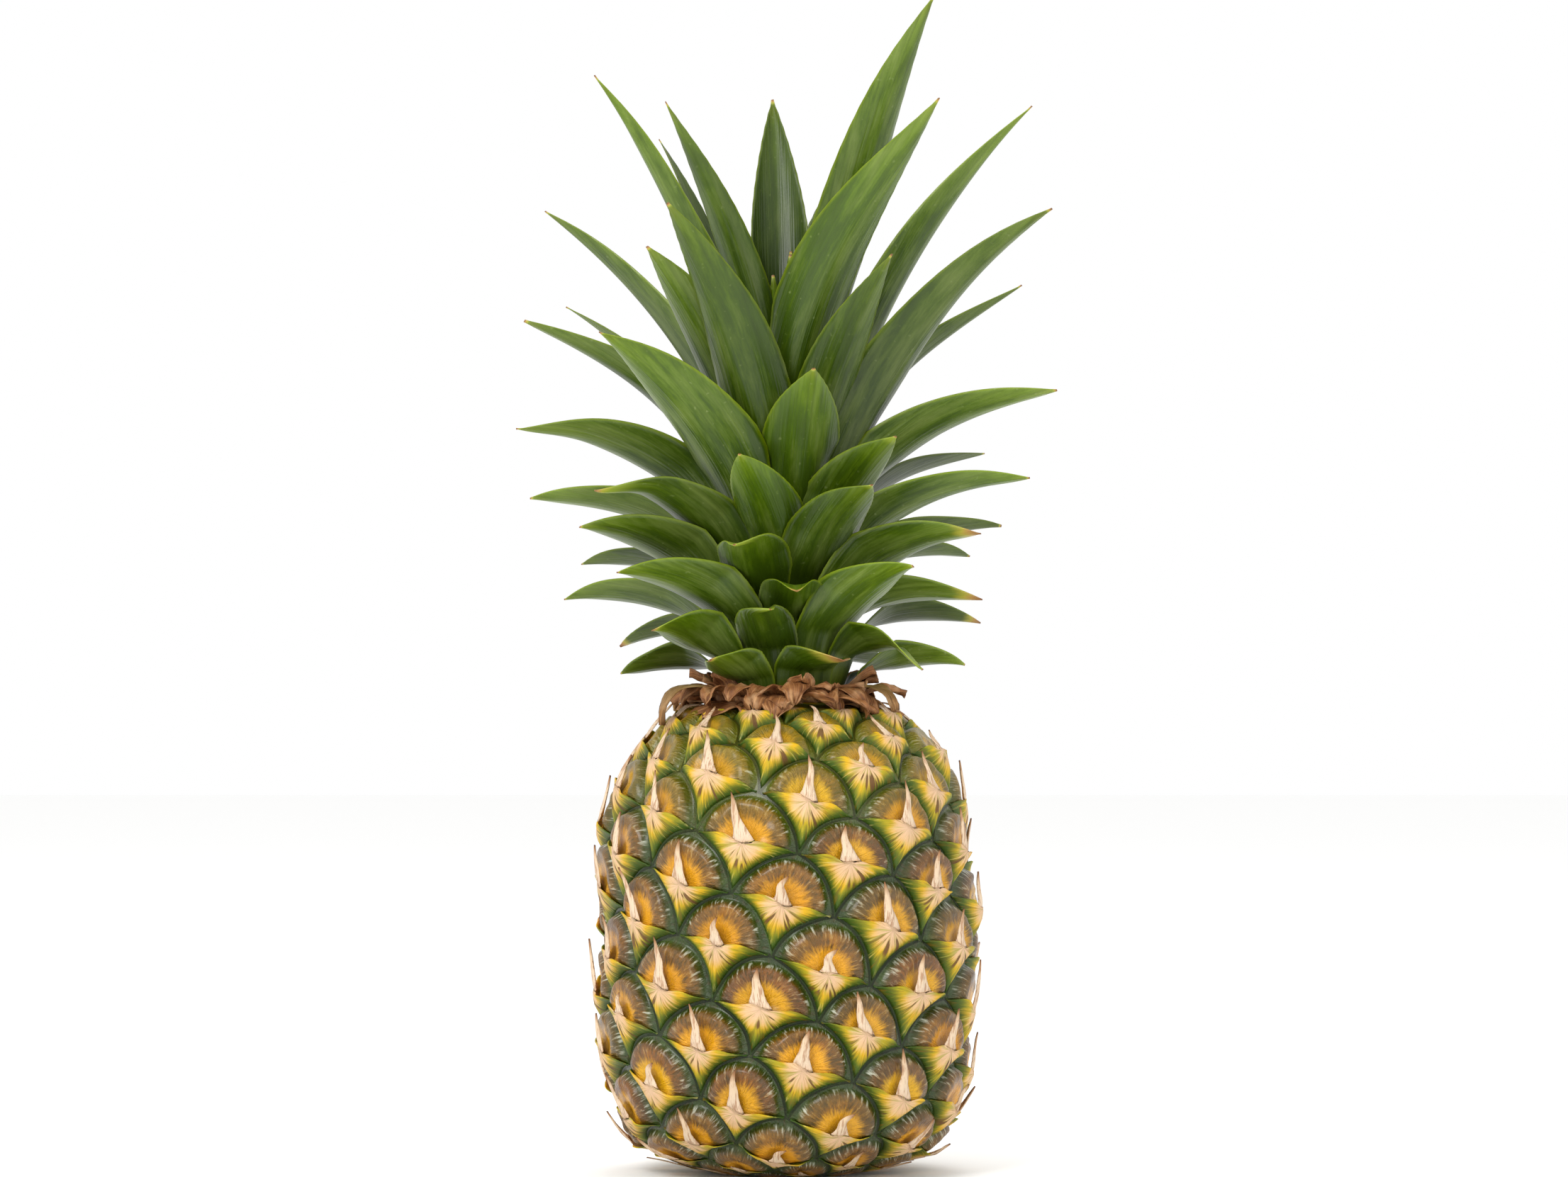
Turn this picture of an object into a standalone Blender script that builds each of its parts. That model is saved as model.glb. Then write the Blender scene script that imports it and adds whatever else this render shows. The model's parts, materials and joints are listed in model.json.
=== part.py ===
"""A whole fresh pineapple, standing on its base: the fruit, the crown stem, its leaves and the dry collar.

Run with: blender --background --python part.py
Origin: centre of the flat base. +Z up, -Y is the front. Lengths are millimetres until MM makes them metres.
"""

import math

import bmesh
import bpy
import numpy as np

MM = 0.001

# The spiral that places both the eyes of the fruit and the leaves of the crown.
GOLDEN_ANGLE = 137.508

# Fruit: a superellipse of revolution, with its lower end cut flat.
FRUIT_RADIUS = 61.0
FRUIT_WAIST = 80.0
FRUIT_LOWER_REACH = 82.0
FRUIT_UPPER_REACH = 79.0
FRUIT_LOWER_POWER = 4.5
FRUIT_UPPER_POWER = 3.6
FRUIT_WIDTH_POWER = 2.4

# Eyes: one per step of the spiral. Each is a rhombus between its neighbours 8 and 13 steps on, with a low
# dome, a groove round its edge and a short spine that points out and up from its middle.
EYE_STEPS = (8, 13)
EYE_SPLITS = 4
EYE_AREA = 612.0
EYE_SHRINK = 1.5
EYE_FRONT_HEIGHT = 91.6
EYE_DOME = 2.4
EYE_GROOVE = 1.3
EYE_SPINE_OUT, EYE_SPINE_UP = 3.0, 3.5
BASE_FLAT_RADIUS, TOP_FLAT_RADIUS = 19.0, 15.0
TOP_FLAT_HEIGHT = 158.3
TOP_PLAIN_RADIUS = 32.0
EYE_FADE = 10.0

# Crown stem: a cone that the leaves stand on.
STEM_BOTTOM, STEM_TOP = 158.7, 226.0
STEM_LOW_RADIUS, STEM_TOP_RADIUS = 19.5, 5.0

# Crown: leaf k stands at k golden angles, on layer k / (LEAVES - 1). Each layer is one surface of a nested
# family round the axis, so that a leaf never meets the one under it. Rows: layer, rise, bend, length, width.
LEAVES = 57
LEAF_PHASE = -36.0
LEAF_THICKNESS = 0.8
LEAF_EDGE_SHARE = 0.4
LEAF_GAP = 1.7
LEAF_ROWS = 8
LEAF_COLUMNS = 2
LEAF_CHANNEL = 0.20
LEAF_TURN = 18.0
LEAF_CLASP = 0.50
LOWEST_LEAF, HIGHEST_LEAF = 164.0, 226.0
LAYER_ROWS = (
    (0.00, 20, 95, 45, 17),
    (0.12, 38, 92, 62, 19),
    (0.25, 52, 80, 76, 21),
    (0.40, 60, 60, 88, 22),
    (0.55, 67, 42, 98, 23),
    (0.70, 73, 31, 118, 24),
    (0.80, 77, 25, 135, 24),
    (0.90, 81, 21, 145, 24),
    (1.00, 87, 15, 120, 20),
)
# Leaves whose tip doesn't stand where its layer alone would put it: azimuth, reach, height and leaf width.
LEAF_TIPS = {
    0: (-36, 43, 172, 21),
    1: (92, 60, 170, 18),
    2: (-98, 56, 167, 19),
    3: (26, 43, 172, 21),
    4: (140, 50, 170, 18),
    5: (-52, 56, 182, 26),
    6: (52, 52, 176, 22),
    7: (-130, 74, 176, 17),
    8: (-14, 46, 190, 20),
    9: (108, 69, 184, 18),
    10: (-97, 75, 192, 20),
    11: (43, 61, 203, 23),
    12: (165, 70, 190, 19),
    13: (-56, 67, 201, 26),
    14: (82, 66, 192, 19),
    15: (-118, 79, 204, 20),
    16: (4, 50, 199, 22),
    17: (128, 80, 207, 18),
    18: (-64, 76, 216, 27),
    19: (60, 74, 214, 24),
    21: (-14, 62, 213, 26),
    22: (104, 75, 217, 19),
    23: (-94, 86, 226, 24),
    24: (28, 60, 230, 26),
    26: (-53, 70, 233, 24),
    27: (84, 82, 233, 20),
    28: (-132, 88, 252, 20),
    29: (-18, 50, 240, 26),
    30: (124, 82, 242, 20),
    31: (-76, 90, 251, 27),
    32: (40, 56, 246, 25),
    34: (-50, 80, 280, 31),
    35: (78, 92, 262, 27),
    36: (-116, 83, 292, 19),
    37: (10, 52, 268, 33),
    38: (150, 78, 304, 22),
    39: (-78, 89, 285, 22),
    40: (63, 98, 321, 24),
    42: (-28, 82, 321, 28),
    43: (98, 80, 298, 20),
    44: (-108, 86, 324, 26),
    45: (30, 69, 305, 23),
    47: (-42, 68, 308, 30),
    48: (82, 83, 357, 22),
    49: (-138, 65, 350, 21),
    50: (41, 76, 356, 32),
    52: (-79, 65, 367, 18),
    53: (50, 64, 392, 29),
    54: (-174, 45, 363, 34),
    55: (-45, 56, 356, 18),
}

# Dry collar: the ring of withered bracts between fruit and crown.
COLLAR_RADIUS = 28.0
COLLAR_HALF_WIDTH = 5.5
COLLAR_HALF_HEIGHT = 3.3
COLLAR_HEIGHT = 160.6
COLLAR_RUFFLES = 9
COLLAR_RUFFLE = 0.7

RIND_COLOUR = (0.42, 0.30, 0.05, 1)
LEAF_COLOUR = (0.08, 0.19, 0.03, 1)
STEM_COLOUR = (0.45, 0.48, 0.20, 1)
DRY_COLOUR = (0.36, 0.17, 0.07, 1)


def clear_scene():
    for thing in list(bpy.data.objects):
        bpy.data.objects.remove(thing)


def make_material(name, colour, roughness):
    material = bpy.data.materials.new(name)
    material.use_nodes = True
    shader = material.node_tree.nodes["Principled BSDF"]
    shader.inputs["Base Color"].default_value = colour
    shader.inputs["Roughness"].default_value = roughness
    shader.inputs["Metallic"].default_value = 0.0
    return material


def add_object(name, mesh, material, collection):
    thing = bpy.data.objects.new(name, mesh)
    mesh.materials.append(material)
    mesh.shade_smooth()
    collection.objects.link(thing)
    return thing


# ---- fruit ----


def fruit_radius(height):
    """Radius of the smooth fruit at a height, both in millimetres."""
    above = np.maximum(height - FRUIT_WAIST, 0) / FRUIT_UPPER_REACH
    below = np.maximum(FRUIT_WAIST - height, 0) / FRUIT_LOWER_REACH
    fullness = 1 - above**FRUIT_UPPER_POWER - below**FRUIT_LOWER_POWER
    return FRUIT_RADIUS * np.maximum(fullness, 0) ** (1 / FRUIT_WIDTH_POWER)


def fruit_profile():
    """The smooth outline from the centre of the base to the top, as radius, height and arc length."""
    turn = np.linspace(0, math.pi, 4000)
    height = np.concatenate([[0.0], (1 - np.cos(turn)) / 2 * (FRUIT_WAIST + FRUIT_UPPER_REACH)])
    radius = np.concatenate([[0.0], fruit_radius(height[1:])])
    step = np.hypot(np.diff(radius), np.diff(height))
    return radius, height, np.concatenate([[0.0], np.cumsum(step)])


def spiral_steps(radius, height, arc):
    """How many eyes the spiral has placed by each arc length, counted from the eye that faces the front."""
    area = EYE_AREA * (np.maximum(radius, 12.0) / FRUIT_RADIUS) ** EYE_SHRINK
    density = 2 * math.pi * radius / area
    grown = np.concatenate([[0.0], np.cumsum((density[1:] + density[:-1]) / 2 * np.diff(arc))])
    return grown - np.interp(EYE_FRONT_HEIGHT, height, grown)


def eye_centre_share(first, second):
    """How far a point is from its eye's centre, 0 to 1 at the groove, from its place counted in eyes."""
    return 2 * max(abs(first - round(first)), abs(second - round(second)))


def rind_point(first, second, profile):
    """A point of the rind, in metres, at a place counted in eyes along the two families of spirals."""
    radius, height, arc, steps = profile
    turns = [(step * GOLDEN_ANGLE + 180) % 360 - 180 for step in EYE_STEPS]
    turn = math.radians(first * turns[0] + second * turns[1])
    along = np.interp(first * EYE_STEPS[0] + second * EYE_STEPS[1], steps, arc)
    ring, level = np.interp(along, arc, radius), np.interp(along, arc, height)
    plain = level if level < FRUIT_WAIST else ring - TOP_PLAIN_RADIUS
    fade = min(1.0, max(0.0, plain / EYE_FADE))
    share = eye_centre_share(first, second)
    fullness = 1 - share**2.5
    bump = EYE_DOME * fullness - EYE_GROOVE * (1 - fullness)
    rings = np.interp([along + 1, along - 1], arc, radius)
    levels = np.interp([along + 1, along - 1], arc, height)
    slope = math.atan2(rings[0] - rings[1], levels[0] - levels[1])
    up = 0.0
    if share < 0.01:
        bump += EYE_SPINE_OUT
        up = EYE_SPINE_UP
    ring += fade * (bump * math.cos(slope) + up * math.sin(slope))
    level += fade * (up * math.cos(slope) - bump * math.sin(slope))
    return MM * ring * math.sin(turn), -MM * ring * math.cos(turn), MM * level


def make_fruit(material, collection):
    """A grid along the two families of spirals, so that its edges lie in the grooves between the eyes."""
    radius, height, arc = fruit_profile()
    steps = spiral_steps(radius, height, arc)
    profile = (radius, height, arc, steps)
    on_base = height < 0.001
    lowest = np.interp(BASE_FLAT_RADIUS, radius[on_base], steps[on_base])
    falling = height > FRUIT_WAIST
    highest = np.interp(-TOP_FLAT_RADIUS, -radius[falling], steps[falling])
    eight, thirteen = EYE_STEPS
    first_row = math.floor((lowest - eight * thirteen) / thirteen) - 1
    rows = math.ceil(highest / thirteen) + 1 - first_row
    mesh = bpy.data.meshes.new("fruit_body")
    shape = bmesh.new()
    bmesh.ops.create_grid(shape, x_segments=thirteen * EYE_SPLITS, y_segments=rows * EYE_SPLITS, size=1)
    outside = []
    for vertex in shape.verts:
        first = (vertex.co.x + 1) / 2 * thirteen
        second = first_row + (vertex.co.y + 1) / 2 * rows
        step = first * eight + second * thirteen
        if lowest <= step <= highest:
            vertex.co = rind_point(first, second, profile)
        else:
            outside.append(vertex)
    bmesh.ops.delete(shape, geom=outside, context="VERTS")
    bmesh.ops.remove_doubles(shape, verts=shape.verts, dist=0.00002)
    rims = [edge for edge in shape.edges if edge.is_boundary]
    for vertex in {vertex for edge in rims for vertex in edge.verts}:
        if vertex.co.z > FRUIT_WAIST * MM:
            vertex.co.z = TOP_FLAT_HEIGHT * MM
    bmesh.ops.holes_fill(shape, edges=rims, sides=0)
    bmesh.ops.recalc_face_normals(shape, faces=shape.faces)
    shape.to_mesh(mesh)
    shape.free()
    return add_object("fruit_body", mesh, material, collection)


# ---- crown ----


def stem_radius(height):
    share = (height - STEM_BOTTOM) / (STEM_TOP - STEM_BOTTOM)
    return STEM_LOW_RADIUS + (STEM_TOP_RADIUS - STEM_LOW_RADIUS) * share


def make_stem(material, collection):
    mesh = bpy.data.meshes.new("crown_stem")
    shape = bmesh.new()
    bmesh.ops.create_cone(
        shape,
        cap_ends=True,
        segments=24,
        radius1=STEM_LOW_RADIUS * MM,
        radius2=STEM_TOP_RADIUS * MM,
        depth=(STEM_TOP - STEM_BOTTOM) * MM,
    )
    shape.to_mesh(mesh)
    shape.free()
    stem = add_object("crown_stem", mesh, material, collection)
    stem.location.z = (STEM_BOTTOM + STEM_TOP) / 2 * MM
    return stem


def layer_value(layer, column):
    return np.interp(layer, [row[0] for row in LAYER_ROWS], [row[column] for row in LAYER_ROWS])


def layer_point(layer, along):
    """Reach, height and slope of a layer at arc lengths from the stem: an arc that bends outwards."""
    height = LOWEST_LEAF + (HIGHEST_LEAF - LOWEST_LEAF) * layer
    reach = stem_radius(height) + LEAF_GAP
    rise = np.radians(layer_value(layer, 1))
    curl = np.radians(layer_value(layer, 2)) / 100
    slope = rise - curl * along
    reach = reach + (np.sin(rise) - np.sin(slope)) / curl
    height = height + (np.cos(slope) - np.cos(rise)) / curl
    return reach, height, slope


def layer_through(reach, height):
    """The layer whose surface passes through a tip, and the arc length at which it does."""
    low, high = 0.0, 1.0
    along = np.linspace(0, 260, 521)
    for _ in range(24):
        layer = (low + high) / 2
        reaches, heights, _slope = layer_point(layer, along)
        first = int(np.argmax(reaches >= reach))
        if reaches.max() < reach or heights[first] < height:
            low = layer
        else:
            high = layer
    return layer, along[first]


def leaf_half_width(share, width, length):
    """Half the width of a leaf at a share of its length: broad at its base. A longer leaf tapers sooner."""
    shoulder = 0.86 + 0.14 * np.sin(np.minimum(share / 0.35, 1) * math.pi / 2)
    grown = min(max((length - 80) / 50, 0), 1)
    slender = grown * grown * (3 - 2 * grown)
    start = 0.34 - 0.06 * slender
    taper = 1 - (max(share - start, 0) / (1 - start)) ** (2.0 - 0.4 * slender)
    return 0.5 * width * shoulder * np.maximum(taper, 0.02)


def make_leaf(number, material, collection):
    base_layer = number / (LEAVES - 1)
    base_turn = number * GOLDEN_ANGLE + LEAF_PHASE
    if number in LEAF_TIPS:
        tip_turn, tip_reach, tip_height, width = LEAF_TIPS[number]
        tip_layer, length = layer_through(tip_reach, tip_height)
        swing = (tip_turn - base_turn + 180) % 360 - 180
    else:
        tip_layer, swing = base_layer, 0.0
        length, width = layer_value(base_layer, 3), layer_value(base_layer, 4)
    name = f"leaf_{number + 1:02d}"
    mesh = bpy.data.meshes.new(name)
    shape = bmesh.new()
    bmesh.ops.create_grid(shape, x_segments=LEAF_COLUMNS, y_segments=LEAF_ROWS, size=1)
    thick = {}
    for vertex in shape.verts:
        side, share = vertex.co.x, (vertex.co.y + 1) / 2
        ease = share * share * (3 - 2 * share)
        reach, height, slope = layer_point(base_layer + (tip_layer - base_layer) * ease, share * length)
        half = min(leaf_half_width(share, width, length), LEAF_CLASP * reach)
        turn = math.radians(base_turn + swing * ease)
        open_share = min(share / 0.45, 1) ** 1.5
        face = math.radians(LEAF_TURN) * math.sin(turn) * open_share
        lift = LEAF_CHANNEL * width * side**2 * open_share * (1 - share**3) - side * half * math.sin(face)
        turn += side * half * math.cos(face) / reach
        reach -= lift * math.sin(slope)
        height += lift * math.cos(slope)
        vertex.co = (MM * reach * math.sin(turn), -MM * reach * math.cos(turn), MM * height)
        thick[vertex.index] = (1 - abs(side)) * (1 - share**4)
    bmesh.ops.recalc_face_normals(shape, faces=shape.faces)
    shape.to_mesh(mesh)
    shape.free()
    leaf = add_object(name, mesh, material, collection)
    group = leaf.vertex_groups.new(name="thickness")
    for index, weight in thick.items():
        group.add([index], weight, "REPLACE")
    shell = leaf.modifiers.new("Solidify", "SOLIDIFY")
    shell.thickness = LEAF_THICKNESS * MM
    shell.offset = 0
    shell.vertex_group = group.name
    shell.thickness_vertex_group = LEAF_EDGE_SHARE
    return leaf


def make_collar(material, collection):
    bpy.ops.mesh.primitive_torus_add(
        major_segments=36,
        minor_segments=8,
        major_radius=COLLAR_RADIUS * MM,
        minor_radius=MM,
        location=(0, 0, 0),
    )
    collar = bpy.context.object
    for vertex in collar.data.vertices:
        turn = math.atan2(vertex.co.y, vertex.co.x)
        out = math.hypot(vertex.co.x, vertex.co.y) - COLLAR_RADIUS * MM
        ruffle = 1 + COLLAR_RUFFLE * 0.4 * math.sin(COLLAR_RUFFLES * turn)
        reach = COLLAR_RADIUS * MM + out * COLLAR_HALF_WIDTH * ruffle
        lift = vertex.co.z * COLLAR_HALF_HEIGHT
        vertex.co = (reach * math.cos(turn), reach * math.sin(turn), COLLAR_HEIGHT * MM + lift)
    collar.name = "dry_collar"
    collar.data.name = "dry_collar"
    collar.data.materials.append(material)
    collar.data.shade_smooth()
    for home in list(collar.users_collection):
        home.objects.unlink(collar)
    collection.objects.link(collar)
    return collar


def main():
    clear_scene()
    pineapple = bpy.data.collections.new("pineapple")
    bpy.context.scene.collection.children.link(pineapple)
    rind = make_material("rind", RIND_COLOUR, 0.5)
    leaf = make_material("leaf", LEAF_COLOUR, 0.45)
    stem = make_material("stem", STEM_COLOUR, 0.6)
    dry = make_material("dry_bract", DRY_COLOUR, 0.8)
    make_fruit(rind, pineapple)
    make_stem(stem, pineapple)
    make_collar(dry, pineapple)
    for number in range(LEAVES):
        make_leaf(number, leaf, pineapple)


main()
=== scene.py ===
import json
import math
import random
from functools import partial

import bmesh
import bpy
import numpy as np
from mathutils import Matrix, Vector, noise

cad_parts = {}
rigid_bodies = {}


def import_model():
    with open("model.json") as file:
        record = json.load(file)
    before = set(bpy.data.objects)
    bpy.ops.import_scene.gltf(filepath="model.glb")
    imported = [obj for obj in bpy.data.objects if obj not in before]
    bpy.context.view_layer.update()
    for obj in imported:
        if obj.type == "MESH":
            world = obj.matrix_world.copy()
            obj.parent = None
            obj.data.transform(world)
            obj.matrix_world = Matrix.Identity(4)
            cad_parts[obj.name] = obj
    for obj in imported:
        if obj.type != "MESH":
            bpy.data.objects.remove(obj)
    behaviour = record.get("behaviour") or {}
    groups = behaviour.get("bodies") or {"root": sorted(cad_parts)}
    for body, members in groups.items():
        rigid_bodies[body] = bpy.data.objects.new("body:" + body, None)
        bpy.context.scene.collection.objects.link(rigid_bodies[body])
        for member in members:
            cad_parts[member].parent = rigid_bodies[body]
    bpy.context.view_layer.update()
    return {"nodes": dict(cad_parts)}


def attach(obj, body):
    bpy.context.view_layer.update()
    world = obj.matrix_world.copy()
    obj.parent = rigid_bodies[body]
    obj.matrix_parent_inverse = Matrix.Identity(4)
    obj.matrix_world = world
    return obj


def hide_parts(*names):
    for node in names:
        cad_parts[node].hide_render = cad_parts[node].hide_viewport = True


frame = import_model()
mm = 0.001
goldenDegrees = 137.508
goldenAngle = math.radians(goldenDegrees)
print("frame loaded")


def hexColour(code):
    # sRGB hex to the linear colour that a shader wants
    parts = [int(code[i:i + 2], 16) / 255 for i in (1, 3, 5)]
    return tuple(p / 12.92 if p <= 0.04045 else ((p + 0.055) / 1.055) ** 2.4 for p in parts) + (1.0,)


def addNode(tree, kind, settings=None, inputs=None, stops=None, output=0):
    # one node with its settings, its constant or linked inputs and, on a ramp, its stops. It gives back
    # the output that is asked for, or the node itself where that is None
    node = tree.nodes.new(kind)
    for key, value in (settings or {}).items():
        setattr(node, key, value)
    for key, value in (inputs or {}).items():
        socket = node.inputs[key]
        if isinstance(value, bpy.types.NodeSocket):
            tree.links.new(value, socket)
        elif isinstance(value, str) and value.startswith("#"):
            socket.default_value = hexColour(value)
        else:
            socket.default_value = value
    if stops:
        ramp = node.color_ramp
        while len(ramp.elements) < len(stops):
            ramp.elements.new(1.0)
        for element, (place, colour) in zip(ramp.elements, stops):
            element.position = place
            element.color = hexColour(colour)
    return node if output is None else node.outputs[output]


def newMaterial(name, roughness, ior=1.45):
    material = bpy.data.materials.new(name)
    material.use_nodes = True
    shader = material.node_tree.nodes["Principled BSDF"]
    shader.inputs["Roughness"].default_value = roughness
    shader.inputs["IOR"].default_value = ior
    return material, material.node_tree, shader


def smoothStep(low, high, value):
    share = np.clip((value - low) / (high - low), 0, 1)
    return share * share * (3 - 2 * share)


# camera, light and floor come first: a level view of the front
stageBook = {
    "distance": 2.2, "eyeHeight": 0.1958, "sideStep": -0.0007, "lens": 150.4,
    "floor": "#fbfbfa", "world": 1.0, "key": 18.0, "fill": 3.0, "top": 6.0,
}


def makeStage():
    cameraData = bpy.data.cameras.new("camera")
    cameraData.lens = stageBook["lens"]
    cameraData.sensor_width = 36
    camera = bpy.data.objects.new("camera", cameraData)
    camera.location = (stageBook["sideStep"], -stageBook["distance"], stageBook["eyeHeight"])
    camera.rotation_euler = (math.pi / 2, 0, 0)
    bpy.context.scene.collection.objects.link(camera)
    bpy.context.scene.camera = camera
    for name, power, size, place, aim in (
        ("keyLight", stageBook["key"], 0.7, (-0.75, -1.3, 1.25), (0, 0, 0.2)),
        ("fillLight", stageBook["fill"], 1.0, (1.3, -1.2, 0.6), (0, 0, 0.2)),
        ("topLight", stageBook["top"], 0.8, (0.15, 0.5, 1.5), (0, 0, 0.25)),
    ):
        lightData = bpy.data.lights.new(name, "AREA")
        lightData.energy = power
        lightData.size = size
        light = bpy.data.objects.new(name, lightData)
        light.location = place
        light.rotation_euler = (Vector(aim) - Vector(place)).to_track_quat("-Z", "Y").to_euler()
        bpy.context.scene.collection.objects.link(light)
    world = bpy.data.worlds.new("studio")
    world.use_nodes = True
    world.node_tree.nodes["Background"].inputs["Color"].default_value = (1, 1, 1, 1)
    world.node_tree.nodes["Background"].inputs["Strength"].default_value = stageBook["world"]
    bpy.context.scene.world = world
    bpy.context.scene.view_settings.view_transform = "Standard"
    floorMesh = bpy.data.meshes.new("floor")
    shape = bmesh.new()
    bmesh.ops.create_grid(shape, x_segments=1, y_segments=1, size=4)
    shape.to_mesh(floorMesh)
    shape.free()
    floor = bpy.data.objects.new("floor", floorMesh)
    bpy.context.scene.collection.objects.link(floor)
    floorPaint, _, shader = newMaterial("floorPaint", 0.9)
    shader.inputs["Base Color"].default_value = hexColour(stageBook["floor"])
    floorMesh.materials.append(floorPaint)


makeStage()
print("stage made")

# the fruit: its outline in millimetres, and the spiral that its eyes sit on
fruitBook = {
    "radius": 61.0, "waist": 80.0, "lowerReach": 82.0, "upperReach": 79.0,
    "lowerPower": 4.5, "upperPower": 3.6, "widthPower": 2.4,
    "eyeArea": 612.0, "eyeShrink": 1.5, "frontHeight": 91.6, "groove": 1.3,
    "railStep": 0.25, "baseFade": 10.0, "topPlain": 25.0, "topFade": 9.0,
    "unevenness": 7.0, "lumpSpacing": 34.0,
}
rise = fruitBook["eyeArea"] / (2 * math.pi * fruitBook["radius"])  # height gained per eye at the waist


def fruitOutline():
    # radius, height, arc length and eyes counted from the one that faces the front
    book = fruitBook
    height = (1 - np.cos(np.linspace(0, math.pi, 4000))) / 2 * (book["waist"] + book["upperReach"])
    above = np.maximum(height - book["waist"], 0) / book["upperReach"]
    below = np.maximum(book["waist"] - height, 0) / book["lowerReach"]
    fullness = np.maximum(1 - above ** book["upperPower"] - below ** book["lowerPower"], 0)
    radius = book["radius"] * fullness ** (1 / book["widthPower"])
    flat = np.linspace(0, radius[0], 200)[:-1]
    radius = np.concatenate([flat, radius])
    height = np.concatenate([flat * 0, height])
    arc = np.concatenate([[0], np.cumsum(np.hypot(np.diff(radius), np.diff(height)))])
    area = book["eyeArea"] * (np.maximum(radius, 12) / book["radius"]) ** book["eyeShrink"]
    density = 2 * math.pi * radius / area
    steps = np.concatenate([[0], np.cumsum((density[1:] + density[:-1]) / 2 * np.diff(arc))])
    return radius, height, arc, steps - np.interp(book["frontHeight"], height, steps)


def makeRail():
    # one point every quarter eye up the outline; y carries how much of the eyes' relief is left there
    radius, height, arc, steps = fruitOutline()
    book = fruitBook
    count = int((steps[-1] - steps[0]) / book["railStep"])
    at = np.interp(steps[0] + np.arange(count) * book["railStep"], steps, arc)
    ring, level = np.interp(at, arc, radius), np.interp(at, arc, height)
    fromTop = (ring - book["topPlain"]) / book["topFade"]
    left = np.clip(np.where(level < book["waist"], level / book["baseFade"], fromTop), 0, 1)
    left = left * (ring / book["radius"]) ** 0.4
    mesh = bpy.data.meshes.new("rail")
    mesh.from_pydata([(r * mm, share, z * mm) for r, share, z in zip(ring, left, level)], [], [])
    return mesh, float(steps[0]), float(steps[-1])


# one eye, in millimetres: its neighbours on the two spirals, how far its sides bulge, the slant of its wings,
# and the heights of its dome, tail, raised ring and of the dip behind its spine
eyeBook = {
    "steps": (8, 13), "bulge": 0.145, "sides": (25, 24.5), "circle": 15.6, "slant": 0.22,
    "dome": 3.6, "tail": 1.6, "ring": 0.7, "dip": 1.5, "mapSpan": 40.0,
}
eyeSides = []
for count in eyeBook["steps"]:
    turn = (count * goldenAngle + math.pi) % (2 * math.pi) - math.pi
    eyeSides.append((turn * fruitBook["radius"], count * rise))


def eyePlace(first, second):
    # millimetres across and up from the spine's root, from a place in the eye's cell of -0.5 to 0.5 each way
    a = first + eyeBook["bulge"] * (1 - 4 * second ** 2)
    b = second + eyeBook["bulge"] * (1 - 4 * first ** 2)
    return a * eyeSides[0][0] + b * eyeSides[1][0], a * eyeSides[0][1] + b * eyeSides[1][1]


def eyeRim(first, second):
    # distance in millimetres from the groove round the eye
    longSide, shortSide = eyeBook["sides"]
    one, two = longSide * (0.5 - np.abs(first)), shortSide * (0.5 - np.abs(second))
    return np.maximum(one * two / (one + two + 0.001), 0) + 0.15 * np.minimum(one, two)


def domeRim(first, second):
    # the same, but the upper half ends on a circle, which leaves green corners between the domes
    across, up = eyePlace(first, second)
    rim = eyeRim(first, second)
    upper = smoothStep(-5, 1, up + eyeBook["slant"] * across)
    circle = np.clip(eyeBook["circle"] - np.hypot(across, up - 0.3), 0, 20)
    return rim * (1 - upper) + np.minimum(rim, circle) * upper


def eyeRelief(first, second):
    # height over the groove: a cushion with a raised ring above, a low tail below, a dip behind the spine
    across, up = eyePlace(first, second)
    rim = domeRim(first, second)
    tail = np.clip((-up - eyeBook["slant"] * across) / 15, 0, 1)
    top = eyeBook["dome"] * (1 - tail) + eyeBook["tail"] * tail
    dip = eyeBook["dip"] * np.exp(-((across / 6.0) ** 2 + ((up - 3.0) / 5.0) ** 2)) * smoothStep(0.5, 3, rim)
    ring = eyeBook["ring"] * np.exp(-(((rim - 3.2) / 1.6) ** 2)) * (1 - tail)
    return top * (1 - np.exp(-((np.maximum(rim - 0.7, 0) / 1.7) ** 1.2))) + ring - dip


def newObject(name, mesh, collection=None):
    thing = bpy.data.objects.new(name, mesh)
    (collection or bpy.context.scene.collection).objects.link(thing)
    return thing


def lumpNoise(across, up, scale, third):
    # smooth noise between about -1 and 1 at each point of a sheet; third keeps one sheet's from another's
    spots = zip(np.ravel(across), np.ravel(up))
    values = [noise.noise(Vector((x * scale[0], y * scale[1], third))) for x, y in spots]
    return np.array(values).reshape(up.shape)


def gridMesh(name, columns, rows, points, uvs, floats=None):
    # a sheet of quads from arrays of rows x columns points in metres, with a UV map and float attributes
    mesh = bpy.data.meshes.new(name)
    quads = [
        (r * columns + c, r * columns + c + 1, (r + 1) * columns + c + 1, (r + 1) * columns + c)
        for r in range(rows - 1) for c in range(columns - 1)
    ]
    mesh.from_pydata([tuple(p) for p in points.reshape(-1, 3)], [], quads)
    layer = mesh.uv_layers.new(name="placeMap")
    flat = uvs.reshape(-1, 2)
    corner = np.empty(len(mesh.loops), np.int32)
    mesh.loops.foreach_get("vertex_index", corner)
    layer.data.foreach_set("uv", flat[corner].astype(np.float32).ravel())
    for key, values in (floats or {}).items():
        attribute = mesh.attributes.new(key, "FLOAT", "POINT")
        attribute.data.foreach_set("value", values.astype(np.float32).ravel())
    return mesh


# eyes left out at the base and at the top, where the stalk was
rindBook = {"variants": 4, "cells": 25, "skip": 15.0, "bractSkip": 22.0, "seed": 5}


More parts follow.
